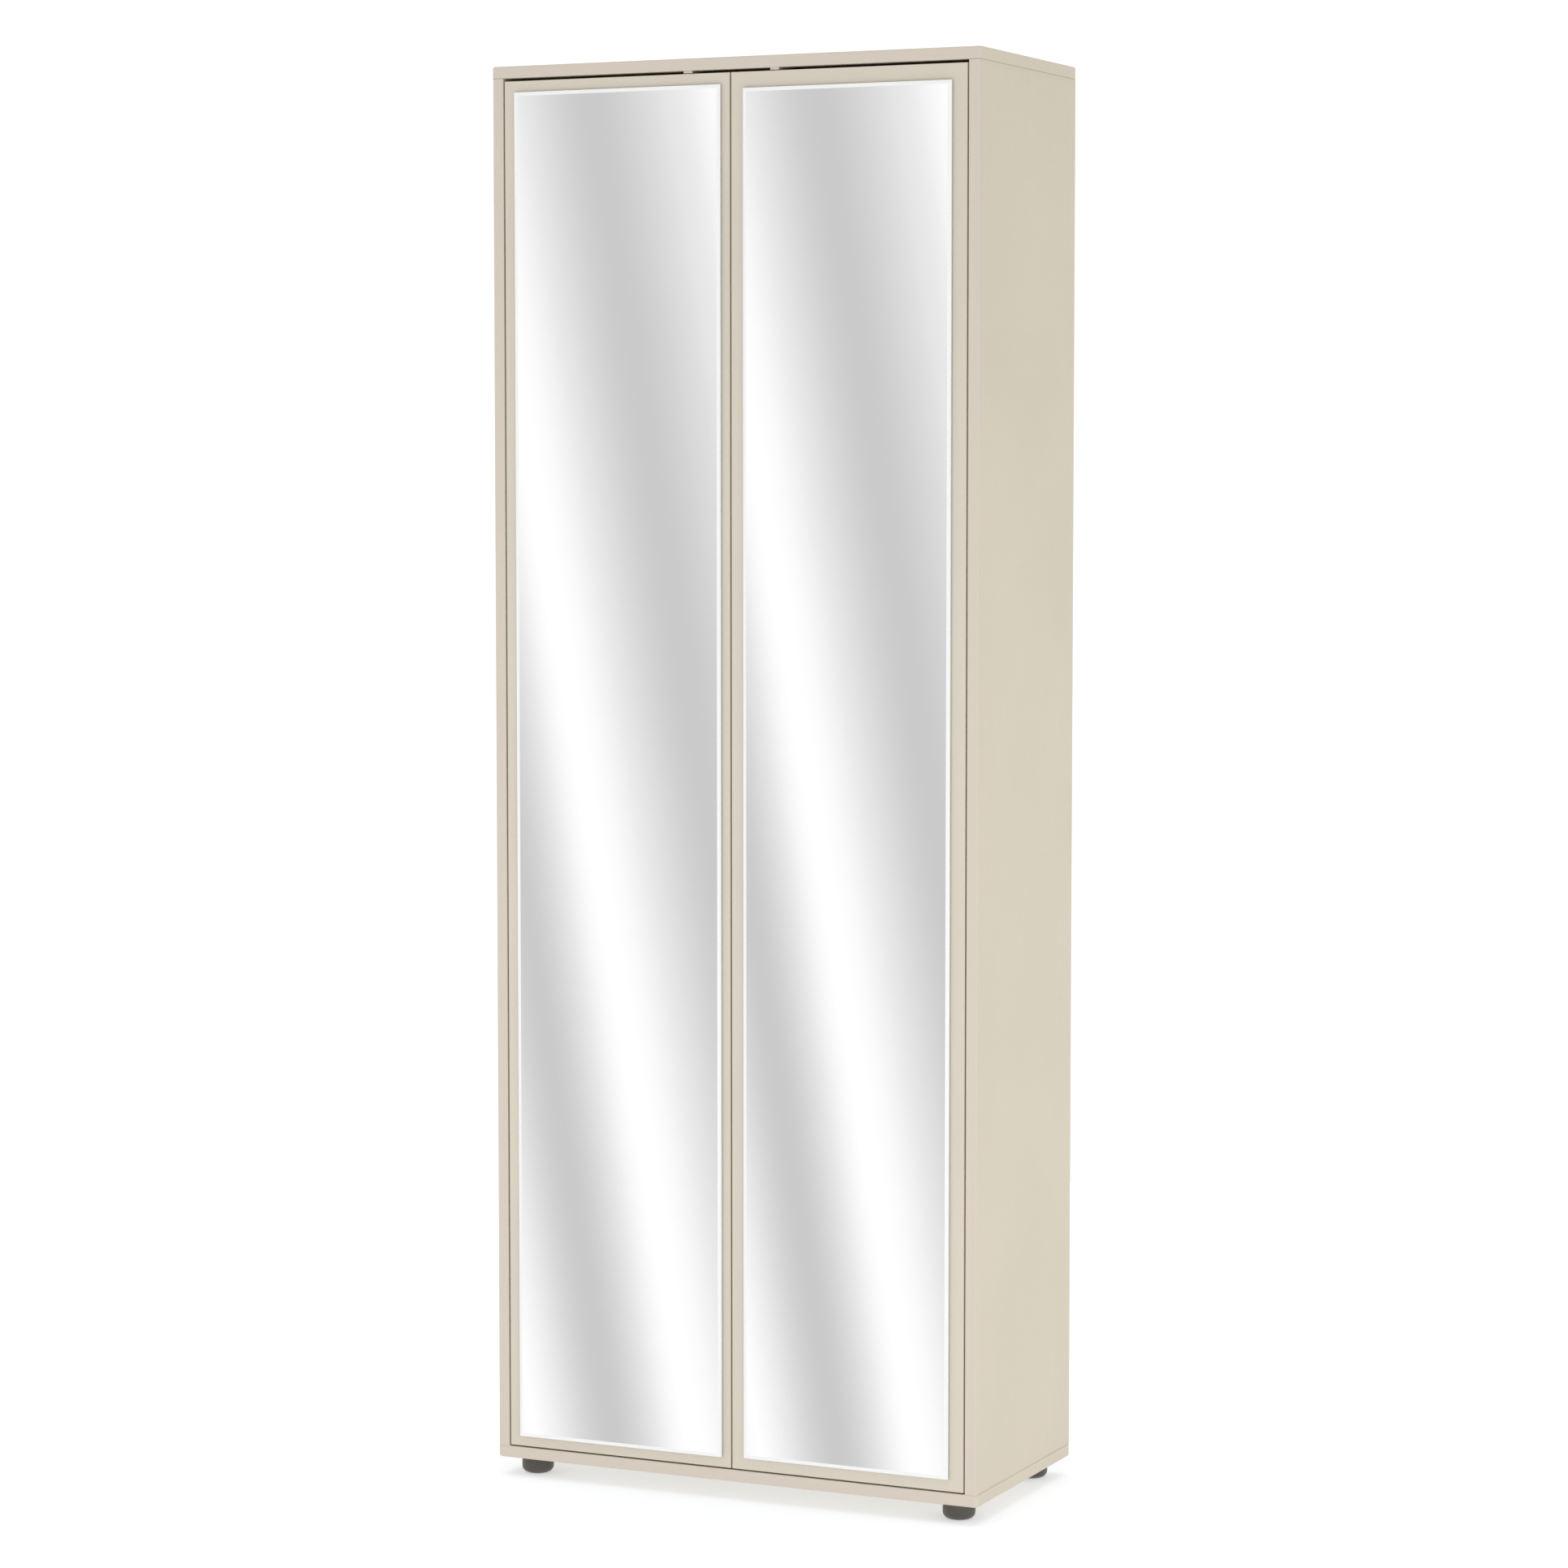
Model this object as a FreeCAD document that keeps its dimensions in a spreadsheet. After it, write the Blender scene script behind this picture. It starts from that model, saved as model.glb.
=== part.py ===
import FreeCAD, Part
import os
import re

from FreeCAD import Placement, Rotation, Vector
import Sketcher

# Shallow two-door armoire with a bevelled mirror on each door, flat-packed from 16 mm laminated
# board. Frame: +Z up, the front faces -Y, +X is to the right of a person facing the doors. The
# origin lies on the floor under the centre of the whole cabinet, mirrors included.

DRIVING = {
    # carcass
    "width": 700.0,
    "depth": 330.0,
    "carcass_height": 1864.0,
    "board": 16.0,
    "overhang": 1.2,
    "corner_round": 5.0,
    "rim_round": 2.5,
    "edge_round": 0.6,
    "side_round": 2.5,
    # feet
    "foot_height": 25.0,
    "foot_radius": 21.5,
    "foot_round": 9.0,
    "foot_bore": 5.0,
    "foot_screw": 2.0,
    "foot_screw_level": 10.0,
    "foot_in_side": 40.5,
    "foot_in_end": 38.0,
    # doors
    "door_thickness": 16.0,
    "door_round": 1.0,
    "gap_side": 2.0,
    "gap_centre": 2.0,
    "gap_bottom": 2.0,
    "gap_top": 4.0,
    # mirrors, stuck on with foam tape
    "tape": 1.0,
    "tape_width": 19.0,
    "glass": 4.0,
    "bevel_width": 5.0,
    "bevel_drop": 1.2,
    "left_mirror_near": 12.7,
    "left_mirror_far": 314.6,
    "left_mirror_low": 32.0,
    "left_mirror_high": 1829.0,
    "right_mirror_near": 19.5,
    "right_mirror_far": 311.0,
    "right_mirror_low": 34.0,
    "right_mirror_high": 1823.0,
    # back
    "groove_inset": 8.0,
    "groove_width": 3.2,
    "groove_depth": 6.0,
    "back_thickness": 3.0,
    "back_in": 5.0,
    "back_corner": 60.0,
    "strip_lip": 8.0,
    "strip_web": 0.6,
    "strip_gauge": 1.0,
    "strip_play": 2.0,
    # wall bracket
    "bracket_in": 24.0,
    "bracket_half": 14.0,
    "bracket_leg": 32.0,
    "bracket_gauge": 2.0,
    "bracket_drop": 20.0,
    "wall_bolt": 3.0,
    # rows of fittings, measured from the front and from the rear
    "shelf_row_front": 87.5,
    "shelf_row_rear": 52.5,
    "cam_row_front": 102.5,
    "cam_row_rear": 77.5,
    "dowel_row_front": 62.5,
    "dowel_row_rear": 37.5,
    # shelves
    "shelf_setback": 42.0,
    "shelf_play": 1.0,
    "pin_radius": 2.5,
    "pin_depth": 8.0,
    # hinges
    "hinge_end": 100.0,
    "hinge_pitch": 542.0,
    "cup_edge": 21.5,
    "cup_radius": 17.5,
    "cup_depth": 13.0,
    "cup_wall": 1.0,
    "flange_radius": 20.0,
    "flange": 1.2,
    "ear_reach": 29.0,
    "ear_screw": 24.0,
    "pivot_edge": 14.0,
    "pivot_depth": 7.0,
    "pivot_pin": 1.5,
    "pivot_play": 0.08,
    "arm_half": 6.0,
    "bend_radius": 17.5,
    "arm_gauge": 3.0,
    # latches
    "latch_offset": 62.0,
    "latch_width": 12.0,
    "latch_height": 14.0,
    "latch_length": 76.0,
    "plunger_radius": 3.5,
    "plunger_drop": 9.0,
    "strike": 1.0,
}

# Levels and places that several pieces share, worked out from the driving sizes.
DERIVED = {
    "front": "-(depth + tape + glass) / 2 + tape + glass",
    "rear": "front + depth",
    "floor": "foot_height + board",
    "top": "foot_height + carcass_height",
    "ceiling": "top - board",
    "inner": "width / 2 - overhang - board",
    "side_height": "ceiling - floor",
    "door_low": "floor + gap_bottom",
    "door_high": "ceiling - gap_top",
    "door_rear": "front + door_thickness",
    "back_front": "rear - groove_inset - back_thickness",
    "groove_front": "back_front - 0.1",
    "shelf_front": "front + shelf_setback",
    "shelf_rear": "back_front - 1.4",
    "bay": "(side_height - 5 * board) / 6",
    "middle": "floor + side_height / 2",
    "hinge_low": "door_low + hinge_end",
    "pivot_x": "-inner + gap_side + pivot_edge",
    "pivot_y": "front + pivot_depth",
    "cup_x": "-inner + gap_side + cup_edge",
    "plunger_z": "ceiling - plunger_drop",
    "bracket_x": "-inner + bracket_in",
}

SIDES = ("left", "right")
HINGES = range(4)
SHELF_COLUMNS = ("front + shelf_row_front", "rear - shelf_row_rear")
CAM_COLUMNS = ("front + cam_row_front", "rear - cam_row_rear")
DOWEL_COLUMNS = ("front + dowel_row_front", "rear - dowel_row_rear")
SHELF_BAYS = (1, 2, 4, 5)

doc = FreeCAD.newDocument("Armoire")
sheet = doc.addObject("Spreadsheet::Sheet", "Sizes")
for row, (alias, number) in enumerate(DRIVING.items(), start=1):
    sheet.set(f"A{row}", alias)
    sheet.set(f"B{row}", str(number))
    sheet.setAlias(f"B{row}", alias)
doc.recompute()

pieces = []


def expand(text):
    """Write a length out in driving sizes only."""
    def opened(word):
        name = word.group(0)
        return f"({expand(DERIVED[name])})" if name in DERIVED else name

    return re.sub(r"[a-z_]+", opened, str(text))


def linked(text):
    """The same length as an expression on the sheet's cells."""
    return re.sub(r"[a-z_]+", lambda word: "Sizes." + word.group(0), expand(text))


def value(text):
    """The same length as a number, for shapes made in code."""
    plain = re.sub(r"[a-z_]+", lambda word: str(getattr(sheet, word.group(0))), expand(text))
    return FreeCAD.Units.Quantity(plain).Value


def point(x, y, z):
    """A point from three lengths."""
    return Vector(value(x), value(y), value(z))


def place(obj, corner, turn=None):
    """Put an object at a corner that follows the sheet."""
    obj.Placement = Placement(Vector(), turn or Rotation())
    for axis, text in zip("xyz", corner):
        obj.setExpression(f".Placement.Base.{axis}", linked(text))
    return obj


def box(name, size, corner, turn=None):
    """A block of a given size with its own corner at a given place, turned about that corner."""
    obj = doc.addObject("Part::Box", name)
    for side, text in zip(("Length", "Width", "Height"), size):
        obj.setExpression(side, linked(text))
    return place(obj, corner, turn)


TURNS = {
    "x": Rotation(Vector(0, 1, 0), 90),
    "y": Rotation(Vector(1, 0, 0), -90),
    "z": Rotation(),
}


def rod(name, radius, length, start, axis="z"):
    """A cylinder from a start point along +X, +Y or +Z."""
    obj = doc.addObject("Part::Cylinder", name)
    obj.setExpression("Radius", linked(radius))
    obj.setExpression("Height", linked(length))
    return place(obj, start, TURNS[axis])


def fuse(name, shapes):
    """One solid from several."""
    obj = doc.addObject("Part::MultiFuse", name)
    obj.Shapes = shapes
    return obj


def together(name, shapes):
    """Several separate solids in one object."""
    obj = doc.addObject("Part::Compound", name)
    obj.Links = shapes
    return obj


def cut(name, base, tools):
    """A solid with others taken out of it."""
    obj = doc.addObject("Part::Cut", name)
    obj.Base = base
    obj.Tool = tools[0] if len(tools) == 1 else together(name + "_tools", tools)
    return obj


def made(name, shapes):
    """Solids made in code from the sheet's sizes, as one object."""
    obj = doc.addObject("Part::Feature", name)
    obj.Shape = Part.makeCompound(shapes)
    obj.Placement = Placement()
    return obj


def mirrored(name, source):
    """The right-hand twin of a left-hand object."""
    obj = doc.addObject("Part::Mirroring", name)
    obj.Source = source
    obj.Normal = (1, 0, 0)
    obj.Base = (0, 0, 0)
    return obj


def keep(obj, label):
    """Mark an object as a finished piece with its own name."""
    obj.Label = label
    pieces.append(obj)
    return obj


def both(obj, name):
    """Keep a left-hand piece and its right-hand twin."""
    keep(obj, f"left_{name}")
    keep(mirrored(f"twin_{name}", obj), f"right_{name}")


def rounded(name, base, radius, wanted):
    """Round the edges of a solid that a test picks out."""
    doc.recompute()
    obj = doc.addObject("Part::Fillet", name)
    obj.Base = base
    size = value(radius)
    picked = [i for i, edge in enumerate(base.Shape.Edges, start=1) if wanted(edge.BoundBox)]
    obj.Edges = [(i, size, size) for i in picked]
    return obj


def near(a, b):
    """Whether two lengths agree to a hundredth."""
    return abs(a - b) < 0.01


# ---------------------------------------------------------------- fittings that join the boards

CAM_RADIUS = 7.5
CAM_DEPTH = 12.5
CAM_REACH = 34.0
BOLT_RADIUS = 2.5
BOLT_HEAD = 3.5
BOLT_THREAD = 11.0
BOLT_NECK = 29.0
BOLT_KNOB = 6.0
CAM_MOUTH = (14.0, 7.6, 8.5)
CAM_MOUTH_START = 10.2
CAM_SLOTS = ((9.0, 1.4, 1.5), (1.4, 9.0, 1.5))
DOWEL_RADIUS = 4.0
DOWEL_SPLIT = (10.0, 20.0)


def cylinder(radius, length, start, direction):
    """A plain cylinder in a joint's own frame."""
    return Part.makeCylinder(radius, length, Vector(*start), Vector(*direction))


def joint_frame(origin, into, face):
    """A frame at a joint: its X runs into the board that holds the cam, its Z out of the cam."""
    across = face.cross(into)
    return Placement(origin, Rotation(into, across, face, "XZY"))


def cam_fitting():
    """The cam, its bolt, and the drillings for both boards, in a joint's own frame."""
    half = value("board") / 2
    low = half - CAM_DEPTH
    bore = cylinder(CAM_RADIUS, CAM_DEPTH, (CAM_REACH, 0, low), (0, 0, 1))
    mouth = Part.makeBox(*CAM_MOUTH, Vector(CAM_REACH - CAM_MOUTH_START, -CAM_MOUTH[1] / 2, low))
    slots = [Part.makeBox(*size, Vector(CAM_REACH - size[0] / 2, -size[1] / 2, half - size[2]))
             for size in CAM_SLOTS]
    cam = bore.cut([mouth, *slots])
    thread = cylinder(BOLT_RADIUS, BOLT_THREAD + BOLT_NECK, (-BOLT_THREAD, 0, 0), (1, 0, 0))
    head = cylinder(BOLT_HEAD, BOLT_KNOB, (BOLT_NECK, 0, 0), (1, 0, 0))
    bolt = thread.fuse(head)
    end_bore = cylinder(BOLT_HEAD, CAM_REACH - BOLT_KNOB, (0, 0, 0), (1, 0, 0))
    far_hole = cylinder(BOLT_RADIUS, BOLT_THREAD, (-BOLT_THREAD, 0, 0), (1, 0, 0))
    return cam, bolt, bore.fuse(end_bore), far_hole


def dowel_fitting():
    """A dowel and its two drillings, in a joint's own frame."""
    far, own = DOWEL_SPLIT
    dowel = cylinder(DOWEL_RADIUS, far + own, (-far, 0, 0), (1, 0, 0))
    far_hole = cylinder(DOWEL_RADIUS, far, (-far, 0, 0), (1, 0, 0))
    own_hole = cylinder(DOWEL_RADIUS, own, (0, 0, 0), (1, 0, 0))
    return dowel, own_hole, far_hole


def end_frames(sign, columns):
    """Joints between one side panel and the top and bottom panels."""
    x = sign * (value("inner") + value("board") / 2)
    inward = Vector(-sign, 0, 0)
    for column in columns:
        y = value(column)
        yield "top", joint_frame(Vector(x, y, value("ceiling")), Vector(0, 0, -1), inward)
        yield "bottom", joint_frame(Vector(x, y, value("floor")), Vector(0, 0, 1), inward)


def shelf_frames(sign, columns):
    """Joints between the fixed shelf and one side panel."""
    for column in columns:
        origin = Vector(sign * value("inner"), value(column), value("middle"))
        yield "side", joint_frame(origin, Vector(-sign, 0, 0), Vector(0, 0, -1))


cams, bolts, dowels = [], [], []
drilled = {"top": [], "bottom": [], "side": [], "left_end": [], "shelf": []}
cam, bolt, cam_own, cam_far = cam_fitting()
dowel, dowel_own, dowel_far = dowel_fitting()
for sign in (-1, 1):
    for frames, own_board in ((end_frames, "left_end"), (shelf_frames, "shelf")):
        held_left = own_board == "shelf" or sign < 0
        for far_board, at in frames(sign, CAM_COLUMNS):
            cams.append(cam.transformed(at.toMatrix()))
            bolts.append(bolt.transformed(at.toMatrix()))
            if held_left:
                drilled[own_board].append(cam_own.transformed(at.toMatrix()))
            if far_board != "side" or sign < 0:
                drilled[far_board].append(cam_far.transformed(at.toMatrix()))
        for far_board, at in frames(sign, DOWEL_COLUMNS):
            dowels.append(dowel.transformed(at.toMatrix()))
            if held_left:
                drilled[own_board].append(dowel_own.transformed(at.toMatrix()))
            if far_board != "side" or sign < 0:
                drilled[far_board].append(dowel_far.transformed(at.toMatrix()))

keep(made("Cams", cams), "cam_locks")
keep(made("Bolts", bolts), "cam_bolts")
keep(made("Dowels", dowels), "dowels")


# ---------------------------------------------------------------- screws

RECESS_SHARE = 0.6


def screw(head_radius, head, shank_radius, shank, tip, direction):
    """A screw whose head's outer face is at tip, driven along a direction."""
    way = Vector(*direction)
    top = Part.makeCylinder(head_radius, head, tip, way)
    stem = Part.makeCylinder(shank_radius, shank, tip + way * head, way)
    recess = Part.makeCylinder(shank_radius * RECESS_SHARE, head * RECESS_SHARE, tip, way)
    return top.fuse(stem).cut(recess)


def screw_hole(shank_radius, shank, start, direction):
    """The hole that a screw's shank fills."""
    return Part.makeCylinder(shank_radius, shank, start, Vector(*direction))


PLATE_SCREW = {"head_radius": 4.0, "head": 1.5, "shank_radius": 2.5, "shank": 13.0}
CUP_SCREW = {"head_radius": 3.3, "head": 1.8, "shank_radius": 1.7, "shank": 11.2}
FOOT_SCREW = {"head_radius": 4.0, "head": 2.5, "shank_radius": 2.0, "shank": 28.0}
SMALL_SCREW = {"head_radius": 3.0, "head": 1.5, "shank_radius": 1.5, "shank": 13.0}
PLATE_Y = 53.0
PLATE_SCREW_Z = 16.0
PLATE_GAUGE = 2.0
SCREW_TAB = 2.0
PILOT_DEPTH = 11.0
LATCH_SCREW_STEPS = ((-9.5, 20.0), (9.5, 62.0))
BRACKET_SCREW_STEPS = (-7.0, 7.0)
BRACKET_SCREW_BACK = 20.0

foot_places = [(sx * value("width / 2 - foot_in_side"), y)
               for sx in (-1, 1)
               for y in (value("front + foot_in_end"), value("rear - foot_in_end"))]
latch_screw_places = [(sx * value("latch_offset") + dx, value("door_rear") + dy)
                      for sx in (-1, 1)
                      for dx, dy in LATCH_SCREW_STEPS]
bracket_screw_places = [(value("bracket_x") + dx, value("back_front") - BRACKET_SCREW_BACK)
                        for dx in BRACKET_SCREW_STEPS]
hinge_heights = [value(f"hinge_low + {i} * hinge_pitch") for i in HINGES]
plate_screw_places = [(value("front") + PLATE_Y, z + dz)
                      for z in hinge_heights
                      for dz in (-PLATE_SCREW_Z, PLATE_SCREW_Z)]


def upward_screws(places, level, size):
    """Screws driven straight up, with their heads' tops at one level."""
    return [screw(tip=Vector(x, y, level - size["head"]), direction=(0, 0, 1), **size)
            for x, y in places]


def plate_screw(side, y, z):
    """One screw of a hinge plate, driven outwards into a side panel."""
    x = side * (value("inner") - PLATE_GAUGE - PLATE_SCREW["head"])
    return screw(tip=Vector(x, y, z), direction=(side, 0, 0), **PLATE_SCREW)


tab_level = value("ceiling") - SCREW_TAB
keep(made("FootScrews", upward_screws(foot_places, value("foot_screw_level"), FOOT_SCREW)),
     "foot_screws")
keep(made("LatchScrews", upward_screws(latch_screw_places, tab_level, SMALL_SCREW)),
     "latch_screws")
keep(made("BracketScrews", upward_screws(bracket_screw_places, tab_level, SMALL_SCREW)),
     "anti_tip_screws")
keep(made("PlateScrews", [plate_screw(side, y, z) for side in (-1, 1) for y, z in plate_screw_places]),
     "hinge_plate_screws")

# the shanks' own holes in the boards
FOOT_PILOT_DEPTH = 14.0
floor_holes = [screw_hole(FOOT_SCREW["shank_radius"], FOOT_PILOT_DEPTH,
                          Vector(x, y, value("foot_height")), (0, 0, 1))
               for x, y in foot_places]
ceiling_holes = [screw_hole(SMALL_SCREW["shank_radius"], PILOT_DEPTH,
                            Vector(x, y, value("ceiling")), (0, 0, 1))
                 for x, y in latch_screw_places + bracket_screw_places]
plate_holes = [screw_hole(PLATE_SCREW["shank_radius"], PILOT_DEPTH,
                          Vector(-value("inner"), y, z), (-1, 0, 0))
               for y, z in plate_screw_places]


def tab_holes(name, places):
    """Clearance for small screws through thin tabs under the top panel."""
    start = value("ceiling") - SCREW_TAB - 1
    return made(name, [screw_hole(SMALL_SCREW["shank_radius"], SCREW_TAB + 2,
                                  Vector(x, y, start), (0, 0, 1)) for x, y in places])


# ---------------------------------------------------------------- carcass boards

def lies_on(extent, axis, level):
    """Whether an edge lies in the plane where an axis has one level."""
    low, high = getattr(extent, axis + "Min"), getattr(extent, axis + "Max")
    return near(low, level) and near(high, level)


def deck(label, level, outer, inner, groove_level, holes):
    """The top or bottom panel: rounded corners and rims, a groove for the back, drilled."""
    slab = box(label + "_slab", ("width", "depth", "board"), ("-width / 2", "front", level))
    corners = rounded(label + "_corners", slab, "corner_round", lambda e: e.ZLength > 1)
    rims = rounded(label + "_rims", corners, "rim_round", lambda e: lies_on(e, "Z", value(outer)))
    eased = rounded(label + "_edges", rims, "edge_round", lambda e: lies_on(e, "Z", value(inner)))
    groove = box(label + "_groove",
                 ("2 * inner + 2 * groove_depth", "groove_width", "groove_depth"),
                 ("-inner - groove_depth", "groove_front", groove_level))
    keep(cut(label + "_panel", eased, [groove, made(label + "_holes", holes)]), label)


deck("top_panel", "ceiling", "top", "ceiling", "ceiling", drilled["top"] + ceiling_holes)
deck("bottom_panel", "foot_height", "foot_height", "floor", "floor - groove_depth",
     drilled["bottom"] + floor_holes)


def shelf_level(bay_number):
    """The underside of the shelf above a bay, counted from the bottom."""
    return f"floor + {bay_number} * bay + {bay_number - 1} * board"


def pin_heights():
    """The height of each adjustable shelf's pins, under its board."""
    return [value(f"{shelf_level(bay_number)} - pin_radius") for bay_number in SHELF_BAYS]


PIN_STEP = 32.0
pin_holes = [Part.makeCylinder(value("pin_radius"), value("pin_depth"),
                               Vector(-value("inner"), value(column), z + step * PIN_STEP),
                               Vector(-1, 0, 0))
             for z in pin_heights() for step in (-1, 0, 1) for column in SHELF_COLUMNS]

side_slab = box("side_slab", ("board", "depth", "side_height"),
                ("-inner - board", "front", "floor"))
side_outer = rounded("side_outer", side_slab, "side_round",
                     lambda e: e.ZLength > 1 and near(e.YMin, value("front"))
                     and near(e.XMin, -value("inner + board")))
side_inner = rounded("side_inner", side_outer, "edge_round",
                     lambda e: e.ZLength > 1 and near(e.YMin, value("front"))
                     and near(e.XMax, -value("inner")))
side_groove = box("side_groove", ("groove_depth", "groove_width", "side_height"),
                  ("-inner - groove_depth", "groove_front", "floor"))
side_holes = made("side_holes", drilled["left_end"] + drilled["side"] + pin_holes + plate_holes)
both(cut("side_panel", side_inner, [side_groove, side_holes]), "side_panel")


# ---------------------------------------------------------------- back

CUT_SPARE = 20.0
EIGHTH_TURN = Rotation(Vector(0, 1, 0), -45)

sheet_width = "2 * inner + 2 * back_in"
keep(box("back_lower", (sheet_width, "back_thickness", "middle - floor + back_in - strip_web"),
         ("-inner - back_in", "back_front", "floor - back_in")), "back_panel_lower")
back_upper = box("back_upper",
                 (sheet_width, "back_thickness", "ceiling - middle + back_in - strip_web"),
                 ("-inner - back_in", "back_front", "middle + strip_web"))
# the upper sheet's corner is cut off behind the wall bracket
back_corner = box("back_corner_cut",
                  (f"1.5 * back_corner + 3 * {CUT_SPARE}", "back_thickness + 2",
                   "back_corner + back_in"),
                  (f"-inner - {CUT_SPARE}", "back_front - 1",
                   f"ceiling - back_corner - {CUT_SPARE}"),
                  EIGHTH_TURN)
keep(cut("back_upper_cut", back_upper, [back_corner]), "back_panel_upper")

strip_length = "2 * inner - 2 * strip_play"
strip_x = "-inner + strip_play"
keep(fuse("strip", [
    box("strip_front", (strip_length, "strip_gauge", "2 * strip_lip"),
        (strip_x, "back_front - strip_gauge", "middle - strip_lip")),
    box("strip_middle", (strip_length, "back_thickness", "2 * strip_web"),
        (strip_x, "back_front", "middle - strip_web")),
    box("strip_rear", (strip_length, "strip_gauge", "2 * strip_lip"),
        (strip_x, "back_front + back_thickness", "middle - strip_lip")),
]), "back_joining_strip")

bracket = fuse("bracket", [
    box("bracket_flat", ("2 * bracket_half", "bracket_leg", "bracket_gauge"),
        ("bracket_x - bracket_half", "back_front - bracket_leg", "ceiling - bracket_gauge")),
    box("bracket_upright", ("2 * bracket_half", "bracket_gauge", "bracket_leg"),
        ("bracket_x - bracket_half", "back_front - bracket_gauge", "ceiling - bracket_leg")),
])
wall_hole = rod("bracket_wall_hole", "wall_bolt", "bracket_gauge + 2",
                ("bracket_x", "back_front - bracket_gauge - 1", "ceiling - bracket_drop"), "y")
bracket_holes = [wall_hole, tab_holes("bracket_screw_holes", bracket_screw_places)]
keep(cut("bracket_cut", bracket, bracket_holes), "anti_tip_bracket")


# ---------------------------------------------------------------- shelves and their pins

fixed = box("fixed_slab", ("2 * inner", "shelf_rear - shelf_front", "board"),
            ("-inner", "shelf_front", "middle - board / 2"))
keep(cut("fixed_cut", fixed, [made("fixed_holes", drilled["shelf"])]), "fixed_shelf")
for number, bay_number in enumerate(SHELF_BAYS, start=1):
    keep(box(f"shelf_{number}",
             ("2 * inner - 2 * shelf_play", "shelf_rear - shelf_front", "board"),
             ("-inner + shelf_play", "shelf_front", shelf_level(bay_number))),
         f"adjustable_shelf_{number}")

PIN_COLLAR = (1.5, 0.8)
PIN_TONGUE = 9.0


def shelf_pin(origin, into):
    """A metal pin: a peg in the panel, a thin collar and a rounded tongue under the shelf."""
    radius = value("pin_radius")
    peg = Part.makeCylinder(radius, value("pin_depth"), origin, into)
    collar = Part.makeCylinder(radius + PIN_COLLAR[0], PIN_COLLAR[1], origin, into * -1)
    tongue = Part.makeCylinder(radius, PIN_TONGUE, origin, into * -1)
    return peg.fuse([collar, tongue])


keep(made("Pins", [shelf_pin(Vector(side * value("inner"), value(column), z), Vector(side, 0, 0))
                   for side in (-1, 1) for column in SHELF_COLUMNS for z in pin_heights()]),
     "shelf_pins")


# ---------------------------------------------------------------- feet

def origin_plane(body, role):
    """One of a body's own origin planes."""
    return next(f for f in body.Origin.OriginFeatures if f.Role == role)


def closed_outline(sketch, points):
    """Straight lines through points, joined end to end."""
    for start, end in zip(points, points[1:] + points[:1]):
        sketch.addGeometry(Part.LineSegment(Vector(*start, 0), Vector(*end, 0)), False)
    count = len(points)
    for i in range(count):
        sketch.addConstraint(Sketcher.Constraint("Coincident", i, 2, (i + 1) % count, 1))


def bound(sketch, kind, references, text):
    """A sketch dimension that follows the sheet."""
    index = sketch.addConstraint(Sketcher.Constraint(kind, *references, value(text)))
    sketch.setExpression(f"Constraints[{index}]", linked(text))


def foot(name, x, y):
    """A round plastic foot: a turned profile with a counterbore for its screw."""
    body = doc.addObject("PartDesign::Body", name)
    sketch = body.newObject("Sketcher::SketchObject", name + "_profile")
    sketch.AttachmentSupport = [(origin_plane(body, "XZ_Plane"), "")]
    sketch.MapMode = "FlatFace"
    outer, tall = value("foot_radius"), value("foot_height")
    bore, shank, step = value("foot_bore"), value("foot_screw"), value("foot_screw_level")
    closed_outline(sketch, [(bore, 0), (outer, 0), (outer, tall), (shank, tall), (shank, step),
                            (bore, step)])
    for line in (0, 2, 4):
        sketch.addConstraint(Sketcher.Constraint("Horizontal", line))
    for line in (1, 3, 5):
        sketch.addConstraint(Sketcher.Constraint("Vertical", line))
    bound(sketch, "DistanceX", (-1, 1, 0, 2), "foot_radius")
    bound(sketch, "DistanceY", (-1, 1, 1, 2), "foot_height")
    bound(sketch, "DistanceX", (-1, 1, 3, 1), "foot_screw")
    bound(sketch, "DistanceX", (-1, 1, 0, 1), "foot_bore")
    bound(sketch, "DistanceY", (-1, 1, 4, 1), "foot_screw_level")
    sketch.addConstraint(Sketcher.Constraint("PointOnObject", 0, 1, -1))
    turned = body.newObject("PartDesign::Revolution", name + "_turned")
    turned.Profile = sketch
    turned.ReferenceAxis = (sketch, ["V_Axis"])
    turned.Angle = 360
    doc.recompute()
    rims = [f"Edge{i}" for i, e in enumerate(turned.Shape.Edges, start=1)
            if near(e.BoundBox.ZMax, 0) and near(e.BoundBox.XLength, 2 * outer)]
    soft = body.newObject("PartDesign::Fillet", name + "_rim")
    soft.Base = (turned, rims)
    soft.setExpression("Radius", linked("foot_round"))
    body.Tip = soft
    place(body, (x, y, "0"))
    return body


for side, x in (("left", "-width / 2 + foot_in_side"), ("right", "width / 2 - foot_in_side")):
    for end, y in (("front", "front + foot_in_end"), ("rear", "rear - foot_in_end")):
        keep(foot(f"Foot_{end}_{side}", x, y), f"foot_{end}_{side}")


# ---------------------------------------------------------------- door panels

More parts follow.
